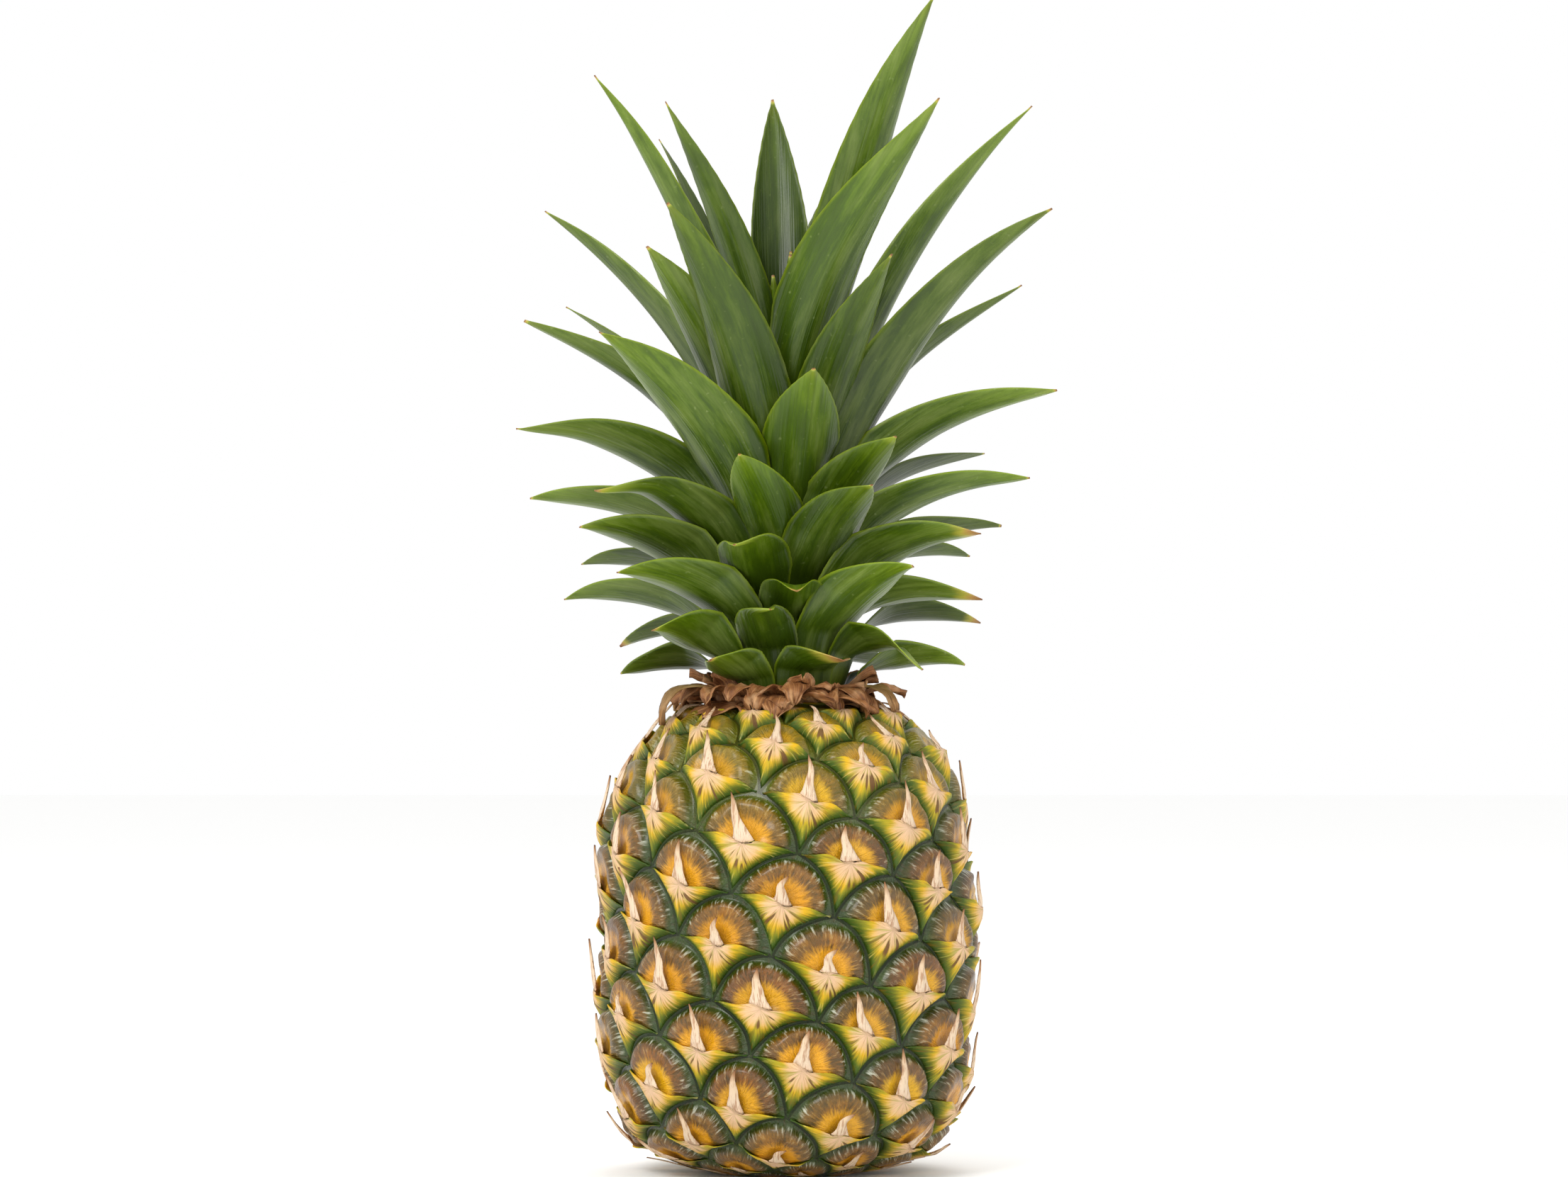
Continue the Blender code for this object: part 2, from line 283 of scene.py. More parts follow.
def makeRindPatches(collection):
    # four domes that differ a little, each on the cell of one eye
    cells = rindBook["cells"]
    for variant in range(rindBook["variants"]):
        way = np.linspace(-1, 1, cells + 1)
        way = 0.5 * (0.6 * way + 0.4 * np.sin(way * math.pi / 2))
        second, first = np.meshgrid(way, way, indexing="ij")
        across, up = eyePlace(first, second)
        rim = domeRim(first, second)
        relief = eyeRelief(first, second)
        relief = relief + lumpNoise(across, up, (0.22, 0.22), variant * 7.3) * 0.7 * np.clip(rim / 3, 0, 1)
        points = np.stack([across, up, relief], axis=-1) * mm
        uvs = np.stack([across, up], axis=-1) / eyeBook["mapSpan"] + 0.5
        mesh = gridMesh("rindPatch", cells + 1, cells + 1, points, uvs, {"rim": rim})
        newObject(f"rindPatch{variant}", mesh, collection)


bractBook = {
    "variants": 9, "columns": 27, "rows": 10, "spineRows": 12, "lip": 1.2, "inset": 0.06,
    # length, lift, kink in degrees and width of five spines
    "spines": (
        (14, 1.8, 0, 2.1), (15.5, 2.4, -12, 2.0), (12.5, 1.0, 16, 2.3), (9, 1.6, 50, 2.0),
        (13, 2.6, -24, 2.0),
    ),
}


def makeBractPatches(collection):
    # the bird-shaped bract under each dome, with the papery spine that rises from its middle
    book = bractBook
    for variant in range(book["variants"]):
        dice = random.Random(40 + variant)
        s = np.linspace(-1, 1, book["columns"])
        t = np.linspace(0, 1, book["rows"]) ** 1.1
        t, s = np.meshgrid(t, s, indexing="ij")
        endFirst = np.where(s < 0, -0.5, -0.5 + s)
        endSecond = np.where(s < 0, -0.5 - s, -0.5)
        sag = -0.13 + 0.115 * np.abs(s) ** 1.1  # how far the wings' upper edge dips towards the spine
        sag = sag + 0.016 * np.sin(s * dice.uniform(6, 11) + dice.uniform(0, 6)) * (1 - s ** 2)
        topFirst, topSecond = s / 2 + sag, -s / 2 + sag
        first = (topFirst * (1 - t) + endFirst * t) * (1 - book["inset"])
        second = (topSecond * (1 - t) + endSecond * t) * (1 - book["inset"])
        across, up = eyePlace(first, second)
        rim = eyeRim(first, second)
        body = np.clip(1 - np.abs(s), 0, 1) ** 0.6
        crumple = lumpNoise(across, up, (0.35, 0.35), 31 + variant * 5.1)
        lip = book["lip"] * body * (1 - t) ** 2 + 0.45 * (1 - t) + 0.12
        hump = 0.9 * np.exp(-(s / 0.24) ** 2) * (1 - t) ** 1.5
        relief = eyeRelief(first, second) + lip + hump + 0.45 * crumple * (1 - t)
        relief = relief - 0.45 * smoothStep(0.8, 1, t)
        points = np.stack([across, up, relief], axis=-1) * mm
        uvs = np.stack([across, up], axis=-1) / eyeBook["mapSpan"] + 0.5
        mesh = gridMesh("bract", book["columns"], book["rows"], points, uvs,
                        {"rim": rim, "spine": np.zeros(s.shape)})
        # the spine grows out of the middle of the bract's upper edge: five ways it can have dried
        length, lift, kink, width = book["spines"][variant % len(book["spines"])]
        lean = math.radians(dice.uniform(-16, 12))
        middle = book["columns"] // 2
        q, p = np.meshgrid(np.linspace(0, 1, book["spineRows"]), np.linspace(-1, 1, 7), indexing="ij")
        ragged = 1 + 0.16 * np.sin(q * dice.uniform(8, 14) + dice.uniform(0, 6)) * p
        half = (width * (1 - q) ** 0.75 * (1 + 0.25 * (1 - smoothStep(0, 0.4, q))) + 0.1) * ragged
        turn = lean + math.radians(kink) * smoothStep(0.35, 0.95, q)
        step = length / (book["spineRows"] - 1)
        alongX = np.cumsum(np.sin(turn), axis=0) * step
        alongY = np.cumsum(np.cos(turn), axis=0) * step
        root = float(relief[0, middle])
        crest = 1.0 * (1 - 0.6 * q) * (1 - np.abs(p) ** 1.2) + 0.18 * np.sin(p * 7 + variant) * (1 - q)
        spinePoints = np.stack([alongX + p * half * np.cos(turn), alongY - p * half * np.sin(turn),
                                root - 0.4 + crest + lift * q ** 1.5], axis=-1)
        joinIn = smoothStep(0, 0.26, q)[..., None]
        spinePoints = points[None, 0, middle - 3:middle + 4] / mm * (1 - joinIn) + spinePoints * joinIn
        spineUvs = spinePoints[..., :2] / eyeBook["mapSpan"] + 0.5
        spineMesh = gridMesh("spine", 7, book["spineRows"], spinePoints * mm, spineUvs,
                             {"rim": 4 + 0 * p, "spine": 0.02 + 0.98 * q})
        joined = newObject(f"bractPatch{variant}", mesh, collection)
        shape = bmesh.new()
        shape.from_mesh(mesh)
        shape.from_mesh(spineMesh)
        bmesh.ops.remove_doubles(shape, verts=shape.verts, dist=0.02 * mm)
        shape.to_mesh(mesh)
        shape.free()
        bpy.data.meshes.remove(spineMesh)
        shell = joined.modifiers.new("thickness", "SOLIDIFY")
        shell.thickness = 0.35 * mm
        shell.offset = -1


def makeEyeTree(seams):
    # eyes on the golden spiral of a flat strip, then rolled round the rail
    tree = bpy.data.node_groups.new("rindEyes" if seams else "rindBracts", "GeometryNodeTree")
    wanted = (
        ("Rail", "Geometry"), ("Patches", "Collection"), ("Eyes", "Int"), ("First Eye", "Float"),
        ("Turn per Eye", "Float"), ("Rise per Eye", "Float"), ("Fruit Radius", "Float"),
        ("Groove Depth", "Float"), ("Rail Start", "Float"), ("Rail Spacing", "Float"),
        ("Variants", "Int"), ("Seed", "Int"), ("Unevenness", "Float"), ("Lump Spacing", "Float"),
        ("Material", "Material"),
    )
    for name, kind in wanted:
        tree.interface.new_socket(name=name, in_out="INPUT", socket_type="NodeSocket" + kind)
    tree.interface.new_socket(name="Geometry", in_out="OUTPUT", socket_type="NodeSocketGeometry")
    add = partial(addNode, tree)
    given = add("NodeGroupInput", output=None).outputs
    index = add("GeometryNodeInputIndex")
    step = add("ShaderNodeMath", {"operation": "ADD"}, {0: index, 1: given["First Eye"]})
    turned = add("ShaderNodeMath", {"operation": "MULTIPLY"}, {0: step, 1: given["Turn per Eye"]})
    across = add("ShaderNodeMath", {"operation": "MULTIPLY"}, {0: turned, 1: given["Fruit Radius"]})
    up = add("ShaderNodeMath", {"operation": "MULTIPLY"}, {0: step, 1: given["Rise per Eye"]})
    place = add("ShaderNodeCombineXYZ", None, {0: across, 1: up})
    points = add("GeometryNodePoints", None, {"Count": given["Eyes"], "Position": place})
    last = add("ShaderNodeMath", {"operation": "SUBTRACT"}, {0: given["Variants"], 1: 1.0})
    pick = add("FunctionNodeRandomValue", {"data_type": "INT"}, {"Seed": given["Seed"]}, output=None)
    tree.links.new(last, pick.inputs[5])
    pick.inputs[4].default_value = 0
    patches = add("GeometryNodeCollectionInfo", None, {
        "Collection": given["Patches"], "Separate Children": True, "Reset Children": True})
    placed = add("GeometryNodeInstanceOnPoints", None, {
        "Points": points, "Instance": patches, "Pick Instance": True, "Instance Index": pick.outputs[2]})
    seed = add("ShaderNodeMath", {"operation": "ADD"}, {0: given["Seed"], 1: 17.0})
    tone = add("FunctionNodeRandomValue", {"data_type": "FLOAT"}, {"Seed": seed}, output=1)
    toned = add("GeometryNodeStoreNamedAttribute", {"data_type": "FLOAT", "domain": "INSTANCE"},
                {"Geometry": placed, "Name": "eyeTone", "Value": tone})
    real = add("GeometryNodeRealizeInstances", None, {0: toned})

    spot = add("ShaderNodeSeparateXYZ", None, {0: add("GeometryNodeInputPosition")}, output=None).outputs
    angle = add("ShaderNodeMath", {"operation": "DIVIDE"}, {0: spot[0], 1: given["Fruit Radius"]})
    level = add("ShaderNodeMath", {"operation": "DIVIDE"}, {0: spot[1], 1: given["Rise per Eye"]})
    past = add("ShaderNodeMath", {"operation": "SUBTRACT"}, {0: level, 1: given["Rail Start"]})
    slotted = add("ShaderNodeMath", {"operation": "DIVIDE"}, {0: past, 1: given["Rail Spacing"]})
    low = add("ShaderNodeMath", {"operation": "FLOOR"}, {0: slotted})
    part = add("ShaderNodeMath", {"operation": "FRACT"}, {0: slotted})
    high = add("ShaderNodeMath", {"operation": "ADD"}, {0: low, 1: 1.0})
    railSpot = add("GeometryNodeInputPosition")
    ends = []
    for at in (low, high):
        sample = add("GeometryNodeSampleIndex",
                     {"data_type": "FLOAT_VECTOR", "domain": "POINT", "clamp": True},
                     {"Geometry": given["Rail"], "Index": at}, output=None)
        tree.links.new(railSpot, sample.inputs["Value"])
        ends.append(sample.outputs[0])
    span = add("ShaderNodeVectorMath", {"operation": "SUBTRACT"}, {0: ends[1], 1: ends[0]})
    partly = add("ShaderNodeVectorMath", {"operation": "SCALE"}, {0: span, "Scale": part})
    onRail = add("ShaderNodeVectorMath", {"operation": "ADD"}, {0: ends[0], 1: partly})
    rail = add("ShaderNodeSeparateXYZ", None, {0: onRail}, output=None).outputs
    spanXZ = add("ShaderNodeVectorMath", {"operation": "MULTIPLY"}, {0: span, 1: (1.0, 0.0, 1.0)})
    along = add("ShaderNodeVectorMath", {"operation": "NORMALIZE"}, {0: spanXZ})
    way = add("ShaderNodeSeparateXYZ", None, {0: along}, output=None).outputs
    over = add("ShaderNodeMath", {"operation": "SUBTRACT"}, {0: spot[2], 1: given["Groove Depth"]})
    relief = add("ShaderNodeMath", {"operation": "MULTIPLY"}, {0: over, 1: rail[1]})
    ring = add("ShaderNodeMath", {"operation": "MULTIPLY_ADD"}, {0: way[2], 1: relief, 2: rail[0]})
    down = add("ShaderNodeMath", {"operation": "MULTIPLY"}, {0: way[0], 1: relief})
    height = add("ShaderNodeMath", {"operation": "SUBTRACT"}, {0: rail[2], 1: down})
    sine = add("ShaderNodeMath", {"operation": "SINE"}, {0: angle})
    cosine = add("ShaderNodeMath", {"operation": "COSINE"}, {0: angle})
    right = add("ShaderNodeMath", {"operation": "MULTIPLY"}, {0: ring, 1: sine})
    back = add("ShaderNodeMath", {"operation": "MULTIPLY"}, {0: ring, 1: cosine})
    front = add("ShaderNodeMath", {"operation": "MULTIPLY"}, {0: back, 1: -1.0})
    rolled = add("ShaderNodeCombineXYZ", None, {0: right, 1: front, 2: height})
    # no fruit is quite regular: the rows wander by a millimetre or so
    lumps = add("ShaderNodeMath", {"operation": "DIVIDE"}, {0: 1.0, 1: given["Lump Spacing"]})
    drift = add("ShaderNodeTexNoise", None, {"Vector": rolled, "Scale": lumps, "Detail": 0.0}, output="Color")
    centred = add("ShaderNodeVectorMath", {"operation": "SUBTRACT"}, {0: drift, 1: (0.5, 0.5, 0.5)})
    reach = add("ShaderNodeMath", {"operation": "MULTIPLY"}, {0: given["Unevenness"], 1: rail[1]})
    wander = add("ShaderNodeVectorMath", {"operation": "SCALE"}, {0: centred, "Scale": reach})
    shaped = add("GeometryNodeSetPosition", None, {"Geometry": real, "Position": rolled, "Offset": wander})
    if seams:
        shaped = add("GeometryNodeMergeByDistance", None, {"Geometry": shaped, "Distance": 0.00003})
    smooth = add("GeometryNodeSetShadeSmooth", None, {"Geometry": shaped})
    coloured = add("GeometryNodeSetMaterial", None, {"Geometry": smooth, "Material": given["Material"]})
    add("NodeGroupOutput", None, {0: coloured}, output=None)
    return tree


def growEyes(name, patchMaker, variants, material, seams, skip):
    # one object with an eye at every step of the spiral, but for the steps skipped at both ends
    rail, start, stop = makeRail()
    firstEye = math.ceil(start + skip)
    eyes = math.floor(stop - skip) - firstEye + 1
    collection = bpy.data.collections.new(name + "Patches")
    patchMaker(collection)
    grower = newObject(name + "Grower", rail)
    tree = makeEyeTree(seams)
    modifier = grower.modifiers.new("eyes", "NODES")
    modifier.node_group = tree
    values = {
        "Patches": collection, "Eyes": eyes, "First Eye": float(firstEye), "Turn per Eye": goldenAngle,
        "Rise per Eye": rise * mm, "Rail Start": start, "Rail Spacing": fruitBook["railStep"],
        "Variants": variants, "Seed": rindBook["seed"], "Material": material,
        "Fruit Radius": fruitBook["radius"] * mm, "Groove Depth": fruitBook["groove"] * mm,
        "Unevenness": fruitBook["unevenness"] * mm, "Lump Spacing": fruitBook["lumpSpacing"] * mm,
    }
    for item in tree.interface.items_tree:
        if item.in_out == "INPUT" and item.name in values:
            modifier[item.identifier] = values[item.name]
    graph = bpy.context.evaluated_depsgraph_get()
    mesh = bpy.data.meshes.new_from_object(grower.evaluated_get(graph))
    mesh.name = name
    for helper in list(collection.objects) + [grower]:
        bpy.data.objects.remove(helper)
    bpy.data.collections.remove(collection)
    return newObject(name, mesh)


def eyeCoordinates(add):
    # millimetres from the spine's root: the vector, its across and up, its length, and the way it points
    place = add("ShaderNodeUVMap", {"uv_map": "placeMap"})
    centred = add("ShaderNodeVectorMath", {"operation": "SUBTRACT"}, {0: place, 1: (0.5, 0.5, 0)})
    local = add("ShaderNodeVectorMath", {"operation": "SCALE"}, {0: centred, "Scale": eyeBook["mapSpan"]})
    xy = add("ShaderNodeSeparateXYZ", None, {0: local}, output=None).outputs
    out = add("ShaderNodeVectorMath", {"operation": "LENGTH"}, {0: local}, output="Value")
    angle = add("ShaderNodeMath", {"operation": "ARCTAN2"}, {0: xy[0], 1: xy[1]})
    return local, xy, out, angle


def rindMaterial():
    # living skin with a waxy shine: brown-grey domes with an orange heart, dark green grooves
    material, tree, shader = newMaterial("waxyRind", 0.42)
    add = partial(addNode, tree)
    _, xy, out, angle = eyeCoordinates(add)
    rim = add("ShaderNodeAttribute", {"attribute_name": "rim"}, output="Fac")
    tone = add("ShaderNodeAttribute", {"attribute_name": "eyeTone"}, output="Fac")
    object3d = add("ShaderNodeTexCoord", output="Object")

    # wrinkles that run out from the heart, about 0.8 mm apart at the rim
    spread = add("ShaderNodeMath", {"operation": "MULTIPLY"}, {0: angle, 1: 13.0})
    drawn = add("ShaderNodeMath", {"operation": "MULTIPLY"}, {0: out, 1: 0.3})
    apart = add("ShaderNodeMath", {"operation": "MULTIPLY"}, {0: tone, 1: 90.0})
    fan = add("ShaderNodeCombineXYZ", None, {0: spread, 1: drawn, 2: apart})
    wrinkle = add("ShaderNodeTexNoise", None, {"Vector": fan, "Scale": 1.0, "Detail": 3.0, "Roughness": 0.6})
    blotch = add("ShaderNodeTexNoise", None, {"Vector": object3d, "Scale": 160.0, "Detail": 4.0})

    # colour from the groove inwards, the border made uneven by the wrinkles
    uneven = add("ShaderNodeMath", {"operation": "MULTIPLY_ADD"}, {0: wrinkle, 1: 1.8, 2: rim})
    scaled = add("ShaderNodeMath", {"operation": "MULTIPLY_ADD"}, {0: uneven, 1: 0.125, 2: -0.1})
    dome = add("ShaderNodeValToRGB", None, {0: scaled}, stops=[
        (0.0, "#324b0e"), (0.12, "#3a5611"), (0.22, "#485313"), (0.33, "#655220"), (0.45, "#7f632c"),
        (0.65, "#946d2e"), (1.0, "#b98326")])
    # each eye has its own cast: olive, tan, grey or purple-brown
    cast = add("ShaderNodeValToRGB", None, {0: tone}, stops=[
        (0.0, "#6b5d18"), (0.3, "#8a5f24"), (0.6, "#94754a"), (0.85, "#80503a"), (1.0, "#6d4b24")])
    inside = add("ShaderNodeMapRange", {"interpolation_type": "SMOOTHSTEP"},
                 {"Value": uneven, "From Min": 2.0, "From Max": 4.0, "To Min": 0.0, "To Max": 0.5})
    ownCast = add("ShaderNodeMix", {"data_type": "RGBA"}, {0: inside, 6: dome, 7: cast}, output=2)
    brown = add("ShaderNodeValToRGB", None, {0: blotch}, stops=[
        (0.33, "#55401f"), (0.5, "#857046"), (0.66, "#bd9f66")])
    speckled = add("ShaderNodeMix", {"data_type": "RGBA", "blend_type": "OVERLAY"},
                   {0: 0.6, 6: ownCast, 7: brown}, output=2)
    # painted shade: dark brown in the furrows between the wrinkles
    furrowShade = add("ShaderNodeMapRange", None,
                 {"Value": wrinkle, "From Min": 0.34, "From Max": 0.48, "To Min": 0.65, "To Max": 0.0})
    furrowShaded = add("ShaderNodeMix", {"data_type": "RGBA"}, {0: furrowShade, 6: speckled, 7: "#3f3512"}, output=2)
    # painted highlight, partly the rind's own pale streaks: light beige on the wrinkle crests inside the rim
    crest = add("ShaderNodeMapRange", None,
                {"Value": wrinkle, "From Min": 0.54, "From Max": 0.7, "To Min": 0.0, "To Max": 0.75})
    crestHighlight = add("ShaderNodeMath", {"operation": "MULTIPLY"}, {0: crest, 1: inside})
    crestHighlighted = add("ShaderNodeMix", {"data_type": "RGBA"}, {0: crestHighlight, 6: furrowShaded, 7: "#cfb88c"}, output=2)
    # orange heart, either side of the spine
    heart = add("ShaderNodeMath", {"operation": "MULTIPLY_ADD"}, {0: wrinkle, 1: -4.0, 2: out})
    heartMask = add("ShaderNodeMapRange", {"interpolation_type": "SMOOTHSTEP"},
                    {"Value": heart, "From Min": 4.2, "From Max": 8.2, "To Min": 1.0, "To Max": 0.0})
    heartTone = add("ShaderNodeValToRGB", None, {0: tone}, stops=[
        (0.0, "#e0a414"), (0.35, "#f2ab16"), (0.7, "#e29c18"), (1.0, "#f0ba2a")])
    warm = add("ShaderNodeMix", {"data_type": "RGBA"}, {0: heartMask, 6: crestHighlighted, 7: heartTone}, output=2)
    # the flanks of the tail, below the wings, are green
    below = add("ShaderNodeMath", {"operation": "MULTIPLY_ADD"}, {0: xy[0], 1: eyeBook["slant"], 2: xy[1]})
    belowMask = add("ShaderNodeMapRange", None,
                    {"Value": below, "From Min": -3.5, "From Max": -0.5, "To Min": 1.0, "To Max": 0.0})
    flank = add("ShaderNodeValToRGB", None, {0: scaled}, stops=[
        (0.0, "#324b0e"), (0.12, "#3a5611"), (0.3, "#526c18"), (0.55, "#7f8a26"), (1.0, "#b39a30")])
    skin = add("ShaderNodeMix", {"data_type": "RGBA"}, {0: belowMask, 6: warm, 7: flank}, output=2)
    # painted highlight, partly pale wax: whitish glints on the ridges just inside the rim, on the upper side
    # of each eye only
    band = add("ShaderNodeMapRange", {"interpolation_type": "SMOOTHSTEP"},
               {"Value": rim, "From Min": 0.7, "From Max": 1.5, "To Min": 0.0, "To Max": 1.0})
    bandOut = add("ShaderNodeMapRange", {"interpolation_type": "SMOOTHSTEP"},
                  {"Value": rim, "From Min": 1.8, "From Max": 3.6, "To Min": 1.0, "To Max": 0.0})
    ridge = add("ShaderNodeMapRange", None,
                {"Value": wrinkle, "From Min": 0.53, "From Max": 0.68, "To Min": 0.0, "To Max": 0.75})
    rimGlintBand = add("ShaderNodeMath", {"operation": "MULTIPLY"}, {0: band, 1: bandOut})
    rimGlintRidges = add("ShaderNodeMath", {"operation": "MULTIPLY"}, {0: rimGlintBand, 1: ridge})
    upper = add("ShaderNodeMapRange", None,
                {"Value": below, "From Min": 1.0, "From Max": 5.0, "To Min": 0.0, "To Max": 1.0})
    rimGlintUpper = add("ShaderNodeMath", {"operation": "MULTIPLY"}, {0: rimGlintRidges, 1: upper})
    rimGlinted = add("ShaderNodeMix", {"data_type": "RGBA"}, {0: rimGlintUpper, 6: skin, 7: "#ccd1c2"}, output=2)
    # the eyes ripen from the base, so those at the top are still yellow-green
    level = add("ShaderNodeSeparateXYZ", None, {0: object3d}, output=2)
    young = add("ShaderNodeMapRange", {"interpolation_type": "SMOOTHSTEP"},
                {"Value": level, "From Min": 0.105, "From Max": 0.155, "To Min": 0.0, "To Max": 0.42})
    ripening = add("ShaderNodeMix", {"data_type": "RGBA"}, {0: young, 6: rimGlinted, 7: "#8f8a1e"}, output=2)
    rich = add("ShaderNodeHueSaturation", None, {"Color": ripening, "Saturation": 1.18, "Value": 0.97})
    tree.links.new(rich, shader.inputs["Base Color"])
    fine = add("ShaderNodeTexNoise", None, {"Vector": object3d, "Scale": 900.0, "Detail": 3.0})
    bumpSum = add("ShaderNodeMath", {"operation": "MULTIPLY_ADD"}, {0: fine, 1: 0.25, 2: wrinkle})
    bump = add("ShaderNodeBump", None, {"Strength": 1.0, "Distance": 0.0012, "Height": bumpSum})
    tree.links.new(bump, shader.inputs["Normal"])
    shader.inputs["Coat Weight"].default_value = 0.35
    shader.inputs["Coat Roughness"].default_value = 0.2
    return material


def bractMaterial():
    # half-dried bract: fleshy yellow that greens to its edges, papery beige where it rises into the spine
    material, tree, shader = newMaterial("halfDriedBract", 0.6)
    add = partial(addNode, tree)
    local, _, out, angle = eyeCoordinates(add)
    turned = add("ShaderNodeMath", {"operation": "ABSOLUTE"}, {0: angle})
    rim = add("ShaderNodeAttribute", {"attribute_name": "rim"}, output="Fac")
    spine = add("ShaderNodeAttribute", {"attribute_name": "spine"}, output="Fac")
    tone = add("ShaderNodeAttribute", {"attribute_name": "eyeTone"}, output="Fac")
    # fibres fan out from the spine's root, about half a millimetre apart
    spread = add("ShaderNodeMath", {"operation": "MULTIPLY"}, {0: angle, 1: 11.0})
    drawn = add("ShaderNodeMath", {"operation": "MULTIPLY"}, {0: out, 1: 0.12})
    apart = add("ShaderNodeMath", {"operation": "MULTIPLY"}, {0: tone, 1: 70.0})
    fan = add("ShaderNodeCombineXYZ", None, {0: spread, 1: drawn, 2: apart})
    fibre = add("ShaderNodeTexNoise", None, {"Vector": fan, "Scale": 1.0, "Detail": 4.0, "Roughness": 0.65})
    far = add("ShaderNodeMath", {"operation": "MULTIPLY_ADD"}, {0: fibre, 1: -5.0, 2: out})
    farShare = add("ShaderNodeMapRange", None,
                   {"Value": far, "From Min": -1.0, "From Max": 14.0, "To Min": 0.0, "To Max": 1.0})
    flesh = add("ShaderNodeValToRGB", None, {0: farShare}, stops=[
        (0.0, "#dfbd9e"), (0.19, "#dab68c"), (0.31, "#d8b060"), (0.45, "#d6aa28"), (0.64, "#bfa61c"),
        (0.95, "#5f7a18")])
    wideFan = add("ShaderNodeVectorMath", {"operation": "MULTIPLY"}, {0: fan, 1: (0.38, 0.9, 1.7)})
    fold = add("ShaderNodeTexNoise", None, {"Vector": wideFan, "Scale": 1.0, "Detail": 1.0})
    # green patches, more of them towards the tail and the wing tips
    patch = add("ShaderNodeMath", {"operation": "MULTIPLY_ADD"}, {0: out, 1: 0.018, 2: fold})
    patchMask = add("ShaderNodeMapRange", None,
                    {"Value": patch, "From Min": 0.56, "From Max": 0.74, "To Min": 0.0, "To Max": 0.65})
    patched = add("ShaderNodeMix", {"data_type": "RGBA"}, {0: patchMask, 6: flesh, 7: "#878c1c"}, output=2)
    edge = add("ShaderNodeMath", {"operation": "MULTIPLY_ADD"}, {0: fibre, 1: 3.4, 2: rim})
    edgeMask = add("ShaderNodeMapRange", {"interpolation_type": "SMOOTHSTEP"},
                   {"Value": edge, "From Min": 3.0, "From Max": 5.2, "To Min": 1.0, "To Max": 0.0})
    edgeTone = add("ShaderNodeMapRange", None,
                   {"Value": rim, "From Min": 0.6, "From Max": 2.6, "To Min": 0.0, "To Max": 1.0})
    edgeGreen = add("ShaderNodeMix", {"data_type": "RGBA"},
                    {0: edgeTone, 6: "#314a0d", 7: "#4f6613"}, output=2)
    greened = add("ShaderNodeMix", {"data_type": "RGBA"}, {0: edgeMask, 6: patched, 7: edgeGreen}, output=2)
    streak = add("ShaderNodeMapRange", None,
                 {"Value": fibre, "From Min": 0.32, "From Max": 0.47, "To Min": 0.6, "To Max": 0.0})
    streaked = add("ShaderNodeMix", {"data_type": "RGBA"}, {0: streak, 6: greened, 7: "#83602a"}, output=2)
    paleFibre = add("ShaderNodeMapRange", None,
                    {"Value": fibre, "From Min": 0.58, "From Max": 0.72, "To Min": 0.0, "To Max": 0.5})
    fibred = add("ShaderNodeMix", {"data_type": "RGBA"}, {0: paleFibre, 6: streaked, 7: "#e0cf8e"}, output=2)
    # withered creases on the slope below the spine
    creaseLow = add("ShaderNodeMapRange", {"interpolation_type": "SMOOTHSTEP"},
                    {"Value": out, "From Min": 2.2, "From Max": 3.6, "To Min": 0.0, "To Max": 1.0})
    creaseHigh = add("ShaderNodeMapRange", {"interpolation_type": "SMOOTHSTEP"},
                     {"Value": out, "From Min": 6.5, "From Max": 9.0, "To Min": 1.0, "To Max": 0.0})
    downward = add("ShaderNodeMapRange", None,
                   {"Value": turned, "From Min": 1.9, "From Max": 2.3, "To Min": 0.0, "To Max": 1.0})
    deep = add("ShaderNodeMapRange", None,
               {"Value": fold, "From Min": 0.585, "From Max": 0.63, "To Min": 0.0, "To Max": 0.85})
    crease = add("ShaderNodeMath", {"operation": "MULTIPLY"}, {0: creaseLow, 1: creaseHigh})
    crease = add("ShaderNodeMath", {"operation": "MULTIPLY"}, {0: crease, 1: downward})
    crease = add("ShaderNodeMath", {"operation": "MULTIPLY"}, {0: crease, 1: deep})
    creased = add("ShaderNodeMix", {"data_type": "RGBA"}, {0: crease, 6: fibred, 7: "#5e3626"}, output=2)
    creased = add("ShaderNodeHueSaturation", None, {"Color": creased, "Saturation": 1.12})
    # the spine dries to straw, browner at its point, with brown lines along it
    straw = add("ShaderNodeValToRGB", None, {0: spine}, stops=[
        (0.0, "#dcb898"), (0.2, "#dfc8ab"), (0.7, "#d6bb9a"), (0.9, "#a0764e"), (1.0, "#6a4223")])
    alongSpine = add("ShaderNodeVectorMath", {"operation": "MULTIPLY"}, {0: local, 1: (1.9, 0.22, 0.0)})
    own = add("ShaderNodeCombineXYZ", None, {2: apart})
    strand = add("ShaderNodeVectorMath", {"operation": "ADD"}, {0: alongSpine, 1: own})
    line = add("ShaderNodeTexNoise", None, {"Vector": strand, "Scale": 1.0, "Detail": 3.0, "Roughness": 0.6})
    lineMask = add("ShaderNodeMapRange", None,
                   {"Value": line, "From Min": 0.4, "From Max": 0.5, "To Min": 0.75, "To Max": 0.0})
    dry = add("ShaderNodeMix", {"data_type": "RGBA"}, {0: lineMask, 6: straw, 7: "#a37450"}, output=2)
    onSpine = add("ShaderNodeMapRange", {"interpolation_type": "SMOOTHSTEP"},
                  {"Value": spine, "From Min": 0.0, "From Max": 0.14, "To Min": 0.0, "To Max": 1.0})
    final = add("ShaderNodeMix", {"data_type": "RGBA"}, {0: onSpine, 6: creased, 7: dry}, output=2)
    tree.links.new(final, shader.inputs["Base Color"])
    bump = add("ShaderNodeBump", None, {"Strength": 0.6, "Distance": 0.0006, "Height": fibre})
    tree.links.new(bump, shader.inputs["Normal"])
    return material


